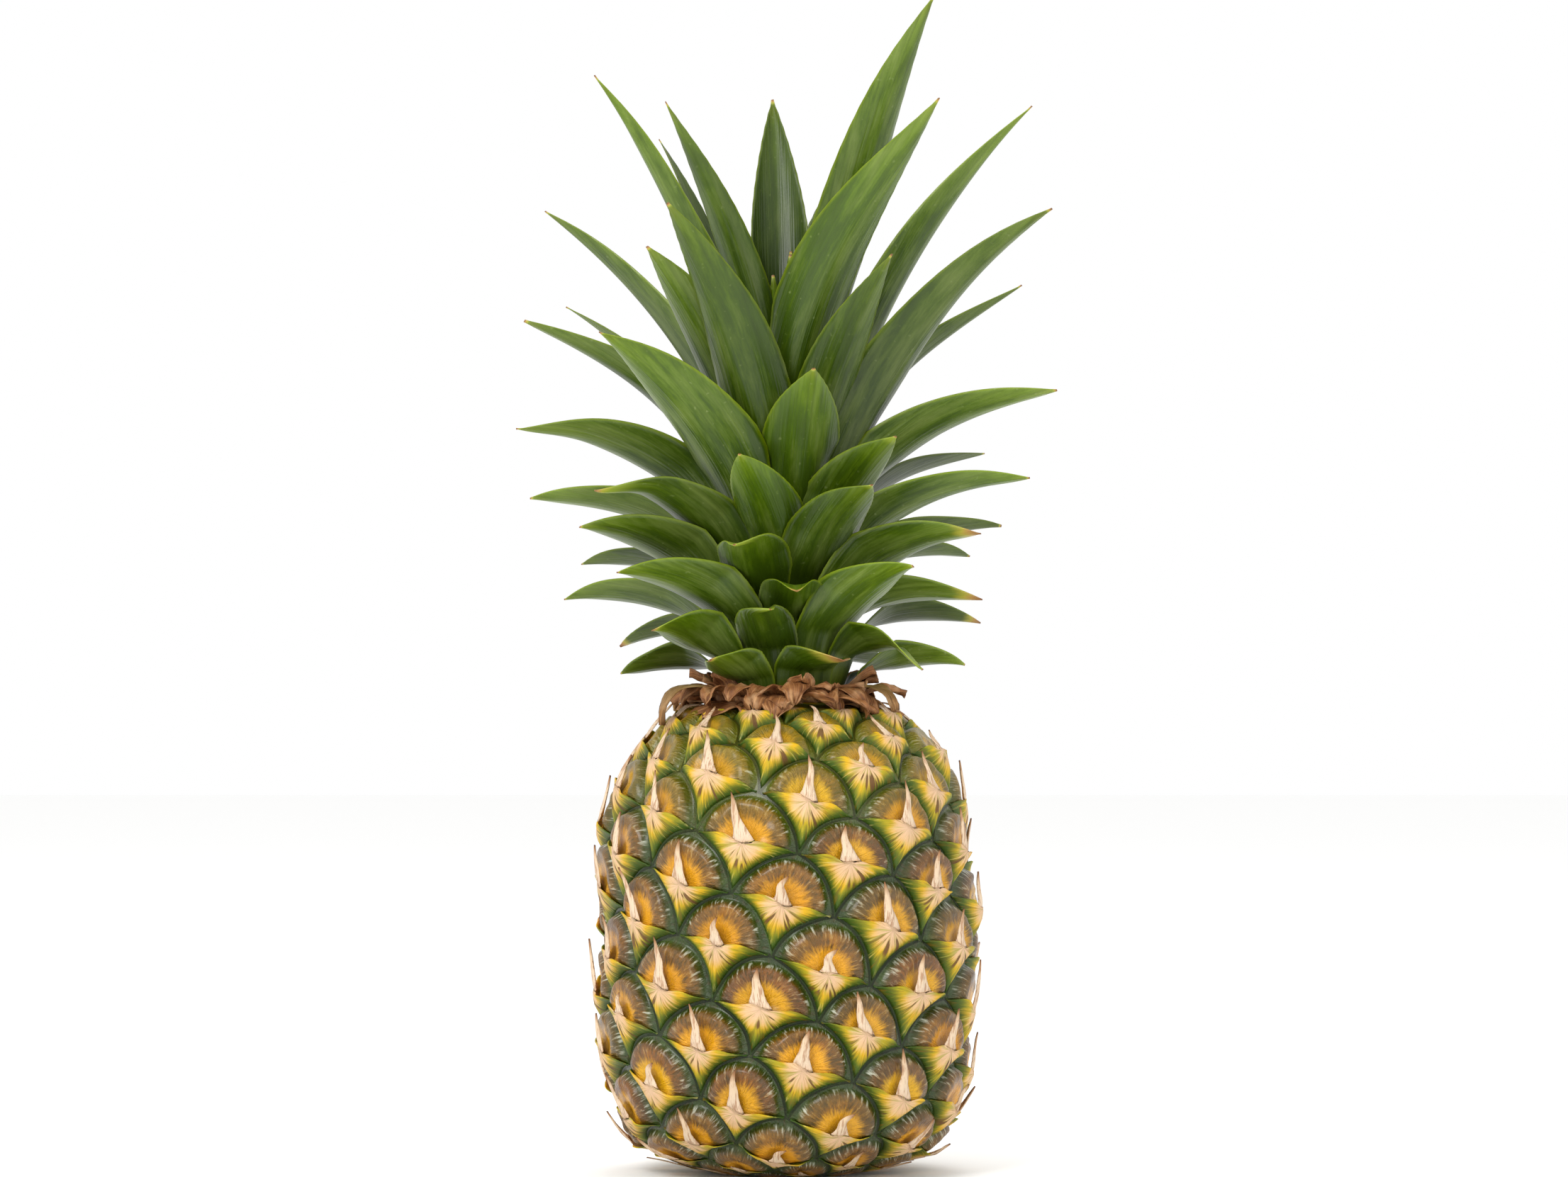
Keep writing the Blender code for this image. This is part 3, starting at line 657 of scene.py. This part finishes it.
def corkMaterial():
    # the healed end of the stalk: dry cork with rings and pale fibre ends
    material, tree, shader = newMaterial("stalkCork", 0.85)
    add = partial(addNode, tree)
    object3d = add("ShaderNodeTexCoord", output="Object")
    rings = add("ShaderNodeTexWave", {"wave_type": "RINGS", "rings_direction": "Z"},
                    {"Vector": object3d, "Scale": 90.0, "Distortion": 4.0, "Detail": 3.0})
    tint = add("ShaderNodeValToRGB", None, {0: rings}, stops=[
        (0.1, "#6a4f2c"), (0.6, "#9a7c4a"), (0.95, "#c0a470")])
    tree.links.new(tint, shader.inputs["Base Color"])
    bump = add("ShaderNodeBump", None, {"Strength": 0.6, "Distance": 0.001, "Height": rings})
    tree.links.new(bump, shader.inputs["Normal"])
    return material


def makeRind():
    # eyes all over the fruit; the two holes left at the poles are closed with cork
    rind = growEyes("rind", makeRindPatches, rindBook["variants"], rindMaterial(), True, rindBook["skip"])
    rind.data.materials.append(corkMaterial())
    shape = bmesh.new()
    shape.from_mesh(rind.data)
    rims = [edge for edge in shape.edges if edge.is_boundary]
    caps = bmesh.ops.holes_fill(shape, edges=rims, sides=0)["faces"]
    for face in caps:
        face.material_index = 1
    bmesh.ops.triangulate(shape, faces=caps)
    shape.to_mesh(rind.data)
    shape.free()
    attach(rind, "root")
    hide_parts("fruit_body")
    bracts = growEyes("eyeBracts", makeBractPatches, bractBook["variants"], bractMaterial(), False,
                      rindBook["bractSkip"])
    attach(bracts, "root")


makeRind()
print("fruit grown")

# the crown, in millimetres and degrees: every leaf lies on one layer of a nested family round the axis
crownBook = {
    "leaves": 57, "phase": -36.0, "lowest": 164.0, "highest": 226.0,
    "stemBottom": 158.7, "stemTop": 226.0, "stemLowRadius": 19.5, "stemTopRadius": 5.0,
    "gap": 1.7, "channel": 0.20, "turn": 30.0, "clasp": 0.52, "thickness": 0.8, "edgeShare": 0.4,
    "sheath": 8.0, "widen": 1.08,
}
layerRows = np.array([  # layer, rise, bend per 100 mm, length, width
    (0.00, 20, 95, 45, 17), (0.12, 38, 92, 62, 19), (0.25, 52, 80, 76, 21), (0.40, 60, 60, 88, 22),
    (0.55, 67, 42, 98, 23), (0.70, 73, 31, 118, 24), (0.80, 77, 25, 135, 24), (0.90, 81, 21, 145, 24),
    (1.00, 87, 15, 120, 20)])
leafTips = {  # azimuth, reach and height of the tip, and leaf width
    0: (-36, 43, 172, 21), 1: (92, 60, 170, 18), 2: (-98, 56, 167, 19), 3: (26, 43, 172, 21),
    4: (140, 50, 170, 18), 5: (-52, 56, 182, 26), 6: (52, 52, 176, 22), 7: (-130, 74, 176, 17),
    8: (-14, 46, 190, 20), 9: (108, 69, 184, 18), 10: (-97, 75, 192, 20), 11: (43, 61, 203, 23),
    12: (165, 70, 190, 19), 13: (-56, 67, 201, 26), 14: (82, 66, 192, 19), 15: (-118, 79, 204, 20),
    16: (4, 50, 199, 22), 17: (128, 80, 207, 18), 18: (-64, 76, 216, 27), 19: (60, 74, 214, 24),
    21: (-14, 62, 213, 26), 22: (104, 75, 217, 19), 23: (-94, 86, 226, 24), 24: (28, 60, 230, 26),
    26: (-53, 70, 233, 24), 27: (84, 82, 233, 20), 28: (-132, 88, 252, 20), 29: (-18, 50, 240, 26),
    30: (124, 82, 242, 20), 31: (-76, 90, 251, 27), 32: (40, 56, 246, 25), 34: (-50, 80, 280, 31),
    35: (78, 92, 262, 27), 36: (-116, 83, 292, 19), 37: (10, 52, 268, 33), 38: (150, 78, 304, 22),
    39: (-78, 89, 285, 22), 40: (63, 98, 321, 24), 42: (-28, 82, 321, 28), 43: (98, 80, 298, 20),
    44: (-108, 86, 324, 26), 45: (30, 69, 305, 23), 47: (-42, 68, 308, 30), 48: (82, 83, 357, 22),
    49: (-138, 65, 350, 21), 50: (41, 76, 356, 32), 52: (-79, 65, 367, 18), 53: (50, 64, 392, 29),
    54: (-174, 45, 363, 34), 55: (-45, 56, 356, 18),
}
tipPulls = {  # millimetres that a curled tip bends away from its leaf
    26: (-7, -2, -5), 21: (-2, -4, -3), 8: (6, -3, -1), 6: (4, -2, -7), 16: (0, -3, -4), 31: (-2, 0, -2),
}
# the share of a leaf's length that has turned pale, or has dried out, where that is more than a little
paleTips = {6: 0.22, 8: 0.18, 26: 0.16, 21: 0.22, 5: 0.1, 0: 0.12, 32: 0.08, 24: 0.06, 16: 0.06}
dryTips = {
    3: 0.30, 0: 0.06, 5: 0.05, 16: 0.07, 9: 0.10, 14: 0.16, 19: 0.12, 25: 0.2, 26: 0.05, 7: 0.07, 12: 0.12,
}


def stemRadius(height):
    book = crownBook
    share = (height - book["stemBottom"]) / (book["stemTop"] - book["stemBottom"])
    return book["stemLowRadius"] + (book["stemTopRadius"] - book["stemLowRadius"]) * share


def layerValue(layer, column):
    return np.interp(layer, layerRows[:, 0], layerRows[:, column])


def layerPoint(layer, along):
    # reach, height and slope of a layer at a length from the stem: an arc that bends outwards
    book = crownBook
    height = book["lowest"] + (book["highest"] - book["lowest"]) * layer
    reach = stemRadius(height) + book["gap"]
    start = np.radians(layerValue(layer, 1))
    curl = np.radians(layerValue(layer, 2)) / 100
    slope = start - curl * along
    reach = reach + (np.sin(start) - np.sin(slope)) / curl
    height = height + (np.cos(slope) - np.cos(start)) / curl
    return reach, height, slope


def layerThrough(reach, height):
    # the layer that passes through a point, and how far along it the point is, by halving
    low, high = 0.0, 1.0
    along = np.linspace(0, 260, 521)
    for _ in range(24):
        layer = (low + high) / 2
        reaches, heights, _ = layerPoint(layer, along)
        first = int(np.argmax(reaches >= reach))
        if reaches.max() < reach or heights[first] < height:
            low = layer
        else:
            high = layer
    return layer, along[first]


def leafPlan(number):
    # a leaf starts at its own step of the spiral and swings over to its tip
    book = crownBook
    baseLayer = number / (book["leaves"] - 1)
    baseTurn = number * goldenDegrees + book["phase"]
    if number in leafTips:
        tipTurn, tipReach, tipHeight, width = leafTips[number]
        tipLayer, length = layerThrough(tipReach, tipHeight)
        swing = (tipTurn - baseTurn + 180) % 360 - 180
    else:
        tipLayer, swing = baseLayer, 0.0
        length, width = layerValue(baseLayer, 3), layerValue(baseLayer, 4)
    return baseLayer, tipLayer, math.radians(baseTurn), math.radians(swing), float(length), float(width)


def leafMesh(name, plan, pull=(0, 0, 0), columns=15, rows=46, seed=0, inward=0.0):
    # the blade, thickest along its middle: the mesh and each point's share of the thickness
    book = crownBook
    baseLayer, tipLayer, baseTurn, swing, length, width = plan
    dice = random.Random(seed)
    share, side = np.meshgrid(np.linspace(0, 1, rows) ** 0.92, np.linspace(-1, 1, columns), indexing="ij")
    ease = share * share * (3 - 2 * share)
    reach, height, slope = layerPoint(baseLayer + (tipLayer - baseLayer) * ease, share * length)
    reach = reach - inward
    shoulder = 0.86 + 0.14 * np.sin(np.minimum(share / 0.35, 1) * math.pi / 2)
    slender = smoothStep(80, 130, length)
    start = 0.34 - 0.06 * slender
    taper = 1 - (np.maximum(share - start, 0) / (1 - start)) ** (2.0 - 0.4 * slender)
    half = 0.5 * width * book["widen"] * shoulder * np.maximum(taper, 0.012)
    half = np.minimum(half, book["clasp"] * reach)
    # small teeth and a slow wave along the margins
    tooth = 0.16 * (np.arange(rows) % 2)[:, None] * (np.abs(side) > 0.99) * smoothStep(0.05, 0.3, share)
    wave = 0.35 * np.sin(share * dice.uniform(9, 15) + dice.uniform(0, 6) + side) * np.abs(side) ** 3
    turn = baseTurn + swing * ease
    opened = np.minimum(share / 0.45, 1) ** 1.5
    face = math.radians(book["turn"]) * np.sin(turn) * opened
    lift = book["channel"] * width * np.abs(side) ** 1.8 * opened * (1 - share ** 3)
    lift = lift - side * half * np.sin(face)
    lift = lift + wave * opened - 0.35 * np.exp(-((side / 0.12) ** 2)) * opened * (1 - share)
    turn = turn + side * (half + tooth) * np.cos(face) / reach
    reach = reach - lift * np.sin(slope)
    # the foot of the leaf clasps the stem below it
    height = height + lift * np.cos(slope) - book["sheath"] * (1 - smoothStep(0, 0.16, share))
    points = np.stack([reach * np.sin(turn), -reach * np.cos(turn), height], axis=-1)
    bend = smoothStep(0.72, 1.0, share)[..., None] ** 1.5
    points = (points + bend * np.array(pull)) * mm
    uvs = np.stack([side * 0.5 + 0.5, share], axis=-1)
    mesh = gridMesh(name, columns, rows, points, uvs, {
        "acrossMm": side * half, "alongMm": share * length, "leafTone": np.full(side.shape, dice.random()),
        # deepGreen is painted shade, darker the further a leaf turns away from the front
        # flank, how far a leaf turns sideways, drives a painted sheen on the side leaves
        "deepGreen": 0.5 - 0.5 * np.cos(turn), "flank": np.abs(np.sin(turn)),
        "paleTip": np.full(side.shape, paleTips.get(seed, 0.02)),
        "dryTip": np.full(side.shape, dryTips.get(seed, 0.012)),
    })
    return mesh, (1 - np.abs(side)) * (1 - share ** 4)


def addThickness(leaf, weights, thickness, edgeShare):
    group = leaf.vertex_groups.new(name="thickness")
    for index, weight in enumerate(weights.ravel()):
        group.add([index], float(weight), "REPLACE")
    shell = leaf.modifiers.new("thickness", "SOLIDIFY")
    shell.thickness = thickness * mm
    shell.offset = 0
    shell.vertex_group = group.name
    shell.thickness_vertex_group = edgeShare


def leafMaterial():
    # living leaf: waxy green with fine veins, a whitish bloom, paler margins and a dry brown point
    material, tree, shader = newMaterial("waxyLeaf", 0.38)
    add = partial(addNode, tree)
    place = add("ShaderNodeUVMap", {"uv_map": "placeMap"})
    uv = add("ShaderNodeSeparateXYZ", None, {0: place}, output=None).outputs
    across = add("ShaderNodeAttribute", {"attribute_name": "acrossMm"}, output="Fac")
    along = add("ShaderNodeAttribute", {"attribute_name": "alongMm"}, output="Fac")
    tone = add("ShaderNodeAttribute", {"attribute_name": "leafTone"}, output="Fac")
    object3d = add("ShaderNodeTexCoord", output="Object")
    apart = add("ShaderNodeMath", {"operation": "MULTIPLY"}, {0: tone, 1: 50.0})
    # veins 0.9 mm apart that run the whole leaf
    slow = add("ShaderNodeMath", {"operation": "MULTIPLY"}, {0: along, 1: 0.02})
    tight = add("ShaderNodeMath", {"operation": "MULTIPLY"}, {0: across, 1: 1.1})
    lines = add("ShaderNodeCombineXYZ", None, {0: tight, 1: slow, 2: apart})
    vein = add("ShaderNodeTexNoise", None, {"Vector": lines, "Scale": 1.0, "Detail": 2.0})
    # broader bands and patches of bloom
    wide = add("ShaderNodeMath", {"operation": "MULTIPLY"}, {0: across, 1: 0.22})
    long = add("ShaderNodeMath", {"operation": "MULTIPLY"}, {0: along, 1: 0.035})
    bands = add("ShaderNodeCombineXYZ", None, {0: wide, 1: long, 2: apart})
    bloom = add("ShaderNodeTexNoise", None, {"Vector": bands, "Scale": 1.0, "Detail": 5.0, "Roughness": 0.65})
    flank = add("ShaderNodeAttribute", {"attribute_name": "flank"}, output="Fac")
    dryTip = add("ShaderNodeAttribute", {"attribute_name": "dryTip"}, output="Fac")
    green = add("ShaderNodeValToRGB", None, {0: uv[1]}, stops=[
        (0.0, "#6f7c2e"), (0.1, "#32430a"), (0.4, "#364c09"), (0.75, "#47600d"), (0.93, "#5f7720"),
        (1.0, "#7d8a30")])
    # a grey bloom, plus a painted sheen that makes the leaves standing out sideways lighter
    bloomAndSideSheen = add("ShaderNodeMath", {"operation": "MULTIPLY_ADD"}, {0: flank, 1: 0.14, 2: bloom})
    bloomAndSheenMask = add("ShaderNodeMapRange", None,
                    {"Value": bloomAndSideSheen, "From Min": 0.5, "From Max": 0.85, "To Min": 0.0, "To Max": 0.5})
    bloomAndSheenMix = add("ShaderNodeMix", {"data_type": "RGBA"}, {0: bloomAndSheenMask, 6: green, 7: "#8f9c5e"}, output=2)
    speck = add("ShaderNodeTexNoise", None, {"Vector": object3d, "Scale": 520.0, "Detail": 1.0})
    speckMask = add("ShaderNodeMapRange", None,
                    {"Value": speck, "From Min": 0.7, "From Max": 0.8, "To Min": 0.0, "To Max": 0.25})
    bloomAndSheenMix = add("ShaderNodeMix", {"data_type": "RGBA"}, {0: speckMask, 6: bloomAndSheenMix, 7: "#a3ad7c"}, output=2)
    shade = add("ShaderNodeMapRange", None,
                {"Value": bloom, "From Min": 0.28, "From Max": 0.5, "To Min": 0.55, "To Max": 0.0})
    shaded = add("ShaderNodeMix", {"data_type": "RGBA"}, {0: shade, 6: bloomAndSheenMix, 7: "#2a3a0b"}, output=2)
    veinMask = add("ShaderNodeMapRange", None,
                   {"Value": vein, "From Min": 0.35, "From Max": 0.65, "To Min": 0.0, "To Max": 0.3})
    veined = add("ShaderNodeMix", {"data_type": "RGBA"}, {0: veinMask, 6: shaded, 7: "#2b3d0c"}, output=2)
    edge = add("ShaderNodeMath", {"operation": "ABSOLUTE"},
               {0: add("ShaderNodeMath", {"operation": "SUBTRACT"}, {0: uv[0], 1: 0.5})})
    edgeMask = add("ShaderNodeMapRange", None,
                   {"Value": edge, "From Min": 0.46, "From Max": 0.5, "To Min": 0.0, "To Max": 0.75})
    edged = add("ShaderNodeMix", {"data_type": "RGBA"}, {0: edgeMask, 6: veined, 7: "#7f9034"}, output=2)
    shift = add("ShaderNodeMapRange", None,
                {"Value": tone, "From Min": 0.0, "From Max": 1.0, "To Min": 0.7, "To Max": 1.16})
    # painted shade: the leaves at the back, turned away from the front, are darkened by their azimuth
    far = add("ShaderNodeAttribute", {"attribute_name": "deepGreen"}, output="Fac")
    backShadeDim = add("ShaderNodeMapRange", {"interpolation_type": "SMOOTHSTEP"},
                 {"Value": far, "From Min": 0.5, "From Max": 0.72, "To Min": 1.0, "To Max": 0.6})
    value = add("ShaderNodeMath", {"operation": "MULTIPLY"}, {0: shift, 1: backShadeDim})
    toned = add("ShaderNodeHueSaturation", None, {"Color": edged, "Saturation": 1.12, "Value": value})
    # the end of each leaf yellows and then browns, over a length of its own
    fromTip = add("ShaderNodeMath", {"operation": "SUBTRACT"}, {0: 1.0, 1: uv[1]})
    withered = add("ShaderNodeMath", {"operation": "DIVIDE"}, {0: fromTip, 1: dryTip})
    ragged = add("ShaderNodeMath", {"operation": "MULTIPLY_ADD"}, {0: bloom, 1: 1.2, 2: withered})
    witherTone = add("ShaderNodeValToRGB", None,
                     {0: add("ShaderNodeMath", {"operation": "MULTIPLY"}, {0: ragged, 1: 0.5})},
                     stops=[(0.3, "#7a4f2a"), (0.5, "#a98346"), (0.68, "#a7a03a")])
    witherMask = add("ShaderNodeMapRange", {"interpolation_type": "SMOOTHSTEP"},
                     {"Value": ragged, "From Min": 1.2, "From Max": 1.9, "To Min": 1.0, "To Max": 0.0})
    paleTip = add("ShaderNodeAttribute", {"attribute_name": "paleTip"}, output="Fac")
    faded = add("ShaderNodeMath", {"operation": "DIVIDE"}, {0: fromTip, 1: paleTip})
    fadedMask = add("ShaderNodeMapRange", {"interpolation_type": "SMOOTHSTEP"},
                    {"Value": faded, "From Min": 0.2, "From Max": 1.0, "To Min": 0.8, "To Max": 0.0})
    palened = add("ShaderNodeMix", {"data_type": "RGBA"}, {0: fadedMask, 6: toned, 7: "#8fa030"}, output=2)
    tipped = add("ShaderNodeMix", {"data_type": "RGBA"}, {0: witherMask, 6: palened, 7: witherTone}, output=2)
    tree.links.new(tipped, shader.inputs["Base Color"])
    fine = add("ShaderNodeTexNoise", None, {"Vector": object3d, "Scale": 700.0, "Detail": 3.0})
    bumpSum = add("ShaderNodeMath", {"operation": "MULTIPLY_ADD"}, {0: fine, 1: 0.12, 2: vein})
    bump = add("ShaderNodeBump", None, {"Strength": 0.45, "Distance": 0.0006, "Height": bumpSum})
    tree.links.new(bump, shader.inputs["Normal"])
    return material


def makeLeaves():
    # the crown's leaves, one piece for each CAD leaf
    material = leafMaterial()
    for number in range(crownBook["leaves"]):
        name = f"crownLeaf{number + 1:02d}"
        mesh, weights = leafMesh(name, leafPlan(number), tipPulls.get(number, (0, 0, 0)), seed=number)
        mesh.materials.append(material)
        mesh.shade_smooth()
        leaf = newObject(name, mesh)
        addThickness(leaf, weights, crownBook["thickness"], crownBook["edgeShare"])
        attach(leaf, "root")
        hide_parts(f"leaf_{number + 1:02d}")


heartBook = {
    "leaves": 13, "phase": 70, "length": (55, 95), "width": (11, 15), "inward": 0.38, "thickness": 0.6,
}


def makeHeart():
    # the young leaves inside the crown, upright on the tip of the stem
    material = bpy.data.materials["waxyLeaf"]
    shape = bmesh.new()
    for number in range(heartBook["leaves"]):
        dice = random.Random(500 + number)
        length = dice.uniform(*heartBook["length"])
        turn = math.radians(number * goldenDegrees + heartBook["phase"])
        plan = (1.0, 1.0, turn, 0.0, length, dice.uniform(*heartBook["width"]))
        mesh = leafMesh("young", plan, columns=9, rows=24, seed=500 + number,
                        inward=heartBook["inward"] * number)[0]
        shape.from_mesh(mesh)
        bpy.data.meshes.remove(mesh)
    mesh = bpy.data.meshes.new("heartLeaves")
    shape.to_mesh(mesh)
    shape.free()
    mesh.materials.append(material)
    mesh.shade_smooth()
    heart = newObject("heartLeaves", mesh)
    shell = heart.modifiers.new("thickness", "SOLIDIFY")
    shell.thickness = heartBook["thickness"] * mm
    shell.offset = 0
    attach(heart, "root")


def stemMaterial():
    # the short stem between the leaf bases: fibrous flesh in long streaks of dark brown to olive
    material, tree, shader = newMaterial("fibrousStem", 0.7)
    add = partial(addNode, tree)
    object3d = add("ShaderNodeTexCoord", output="Object")
    stretched = add("ShaderNodeVectorMath", {"operation": "MULTIPLY"}, {0: object3d, 1: (700.0, 700.0, 60.0)})
    fibre = add("ShaderNodeTexNoise", None, {"Vector": stretched, "Scale": 1.0, "Detail": 3.0})
    tint = add("ShaderNodeValToRGB", None, {0: fibre}, stops=[
        (0.3, "#3a2c14"), (0.55, "#5c5a26"), (0.8, "#8a8a4c")])
    tree.links.new(tint, shader.inputs["Base Color"])
    bump = add("ShaderNodeBump", None, {"Strength": 0.6, "Distance": 0.0006, "Height": fibre})
    tree.links.new(bump, shader.inputs["Normal"])
    return material


def dryBractMaterial():
    # withered bract: thin brown paper with fine ribs, pale worn crests, olive where it is still half green
    material, tree, shader = newMaterial("witheredBract", 0.62)
    add = partial(addNode, tree)
    place = add("ShaderNodeUVMap", {"uv_map": "placeMap"})
    tone = add("ShaderNodeAttribute", {"attribute_name": "leafTone"}, output="Fac")
    green = add("ShaderNodeAttribute", {"attribute_name": "green"}, output="Fac")
    object3d = add("ShaderNodeTexCoord", output="Object")
    uv = add("ShaderNodeSeparateXYZ", None, {0: place}, output=None).outputs
    apart = add("ShaderNodeMath", {"operation": "MULTIPLY"}, {0: tone, 1: 40.0})
    tight = add("ShaderNodeMath", {"operation": "MULTIPLY"}, {0: uv[0], 1: 14.0})
    slow = add("ShaderNodeMath", {"operation": "MULTIPLY"}, {0: uv[1], 1: 1.6})
    ribs = add("ShaderNodeCombineXYZ", None, {0: tight, 1: slow, 2: apart})
    rib = add("ShaderNodeTexNoise", None, {"Vector": ribs, "Scale": 1.0, "Detail": 4.0, "Roughness": 0.6})
    blotch = add("ShaderNodeTexNoise", None, {"Vector": object3d, "Scale": 150.0, "Detail": 4.0})
    paper = add("ShaderNodeValToRGB", None, {0: rib}, stops=[
        (0.28, "#4a2a12"), (0.42, "#7a4a24"), (0.54, "#a56c36"), (0.68, "#d0a06c")])
    patch = add("ShaderNodeValToRGB", None, {0: blotch}, stops=[
        (0.36, "#5a3219"), (0.52, "#8e5f38"), (0.66, "#cfa67a")])
    worn = add("ShaderNodeMix", {"data_type": "RGBA"}, {0: 0.5, 6: paper, 7: patch}, output=2)
    greenMask = add("ShaderNodeMath", {"operation": "MULTIPLY"}, {0: green, 1: 0.75})
    halfGreen = add("ShaderNodeMix", {"data_type": "RGBA"}, {0: greenMask, 6: worn, 7: "#55561d"}, output=2)
    tree.links.new(halfGreen, shader.inputs["Base Color"])
    bumpSum = add("ShaderNodeMath", {"operation": "MULTIPLY_ADD"}, {0: blotch, 1: 0.8, 2: rib})
    bump = add("ShaderNodeBump", None, {"Strength": 0.8, "Distance": 0.0007, "Height": bumpSum})
    tree.links.new(bump, shader.inputs["Normal"])
    return material


collarBook = {
    "leaflets": 52, "phase": 11, "columns": 11, "rows": 13, "thickness": 0.35,
    # start radius and height, first slope, bend over its length, length, width, crumple
    "kinds": (
        (23.0, 157.0, 72, 60, 13, 15, 1.6), (22.0, 158.5, 22, 80, 17, 14, 2.0),
        (23.0, 159.0, 52, 165, 15, 13, 1.8), (21.0, 157.0, 8, 45, 16, 15, 1.2),
    ),
    # azimuth, first slope, bend, length and width of the longer ones, which hook over the fruit's shoulder
    "hooks": (
        (-72, 34, 150, 25, 12), (66, 26, 125, 24, 13), (-108, 30, 130, 22, 11), (112, 28, 120, 24, 12),
        (175, 30, 130, 22, 12),
    ),
    "hookStart": (24.5, 160.5),
    "hookCrumple": 1.1,
}


def makeCollar():
    # the lowest bracts of the crown, withered and crumpled on the shoulder of the fruit
    book = collarBook
    ring, level, _, _ = fruitOutline()
    over = level > fruitBook["waist"]
    shape = bmesh.new()
    plans = []
    for number in range(book["leaflets"]):
        kind = book["kinds"][number % len(book["kinds"])]
        plans.append((number * goldenDegrees + book["phase"], kind, 0.0))
    for turn, *hook in book["hooks"]:
        plans.append((turn, (*book["hookStart"], *hook, book["hookCrumple"]), 1.0))
    for number, (turn, kind, green) in enumerate(plans):
        dice = random.Random(300 + number)
        startRadius, startHeight, slope0, bend, length, width, crumple = kind
        length, bend = length * dice.uniform(0.8, 1.15), bend * dice.uniform(0.7, 1.2)
        down, sideways = np.linspace(0, 1, book["rows"]), np.linspace(-1, 1, book["columns"])
        q, p = np.meshgrid(down, sideways, indexing="ij")
        slope = np.radians(slope0 + dice.uniform(-10, 10) - bend * q ** 1.3)
        step = length / (book["rows"] - 1)
        reach = startRadius + np.cumsum(np.cos(slope), axis=0) * step
        height = startHeight + np.cumsum(np.sin(slope), axis=0) * step
        half = 0.5 * width * dice.uniform(0.8, 1.15) * (1 - 0.85 * q ** 2.2)
        half = half * (1 + 0.12 * np.sin(q * 15 + p * 3 + number))
        fold = lumpNoise(p, q, (1.9, 2.6), number * 3.7)
        off = crumple * 1.5 * fold * (0.35 + q) + dice.uniform(-1.6, 2.2) * p ** 2 * q
        angle = math.radians(turn) + p * half / reach + dice.uniform(-0.12, 0.12) * q
        reach = reach - off * np.sin(slope)
        height = height + off * np.cos(slope)
        floorLevel = np.interp(-reach, -ring[over], level[over])
        height = np.maximum(height, floorLevel + 0.9 + 0.5 * fold)
        points = np.stack([reach * np.sin(angle), -reach * np.cos(angle), height], axis=-1) * mm
        uvs = np.stack([p * 0.5 + 0.5, q], axis=-1)
        sheet = gridMesh("leaflet", book["columns"], book["rows"], points, uvs, {
            "leafTone": np.full(p.shape, dice.random()), "green": green * (1 - 0.75 * q)})
        shape.from_mesh(sheet)
        bpy.data.meshes.remove(sheet)
    mesh = bpy.data.meshes.new("witheredBracts")
    shape.to_mesh(mesh)
    shape.free()
    mesh.materials.append(dryBractMaterial())
    mesh.shade_smooth()
    collar = newObject("witheredBracts", mesh)
    shell = collar.modifiers.new("thickness", "SOLIDIFY")
    shell.thickness = book["thickness"] * mm
    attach(collar, "root")
    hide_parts("dry_collar")


makeLeaves()
makeHeart()
makeCollar()
stemNode = frame["nodes"]["crown_stem"]
stemNode.data.materials.clear()
stemNode.data.materials.append(stemMaterial())
print("crown made")
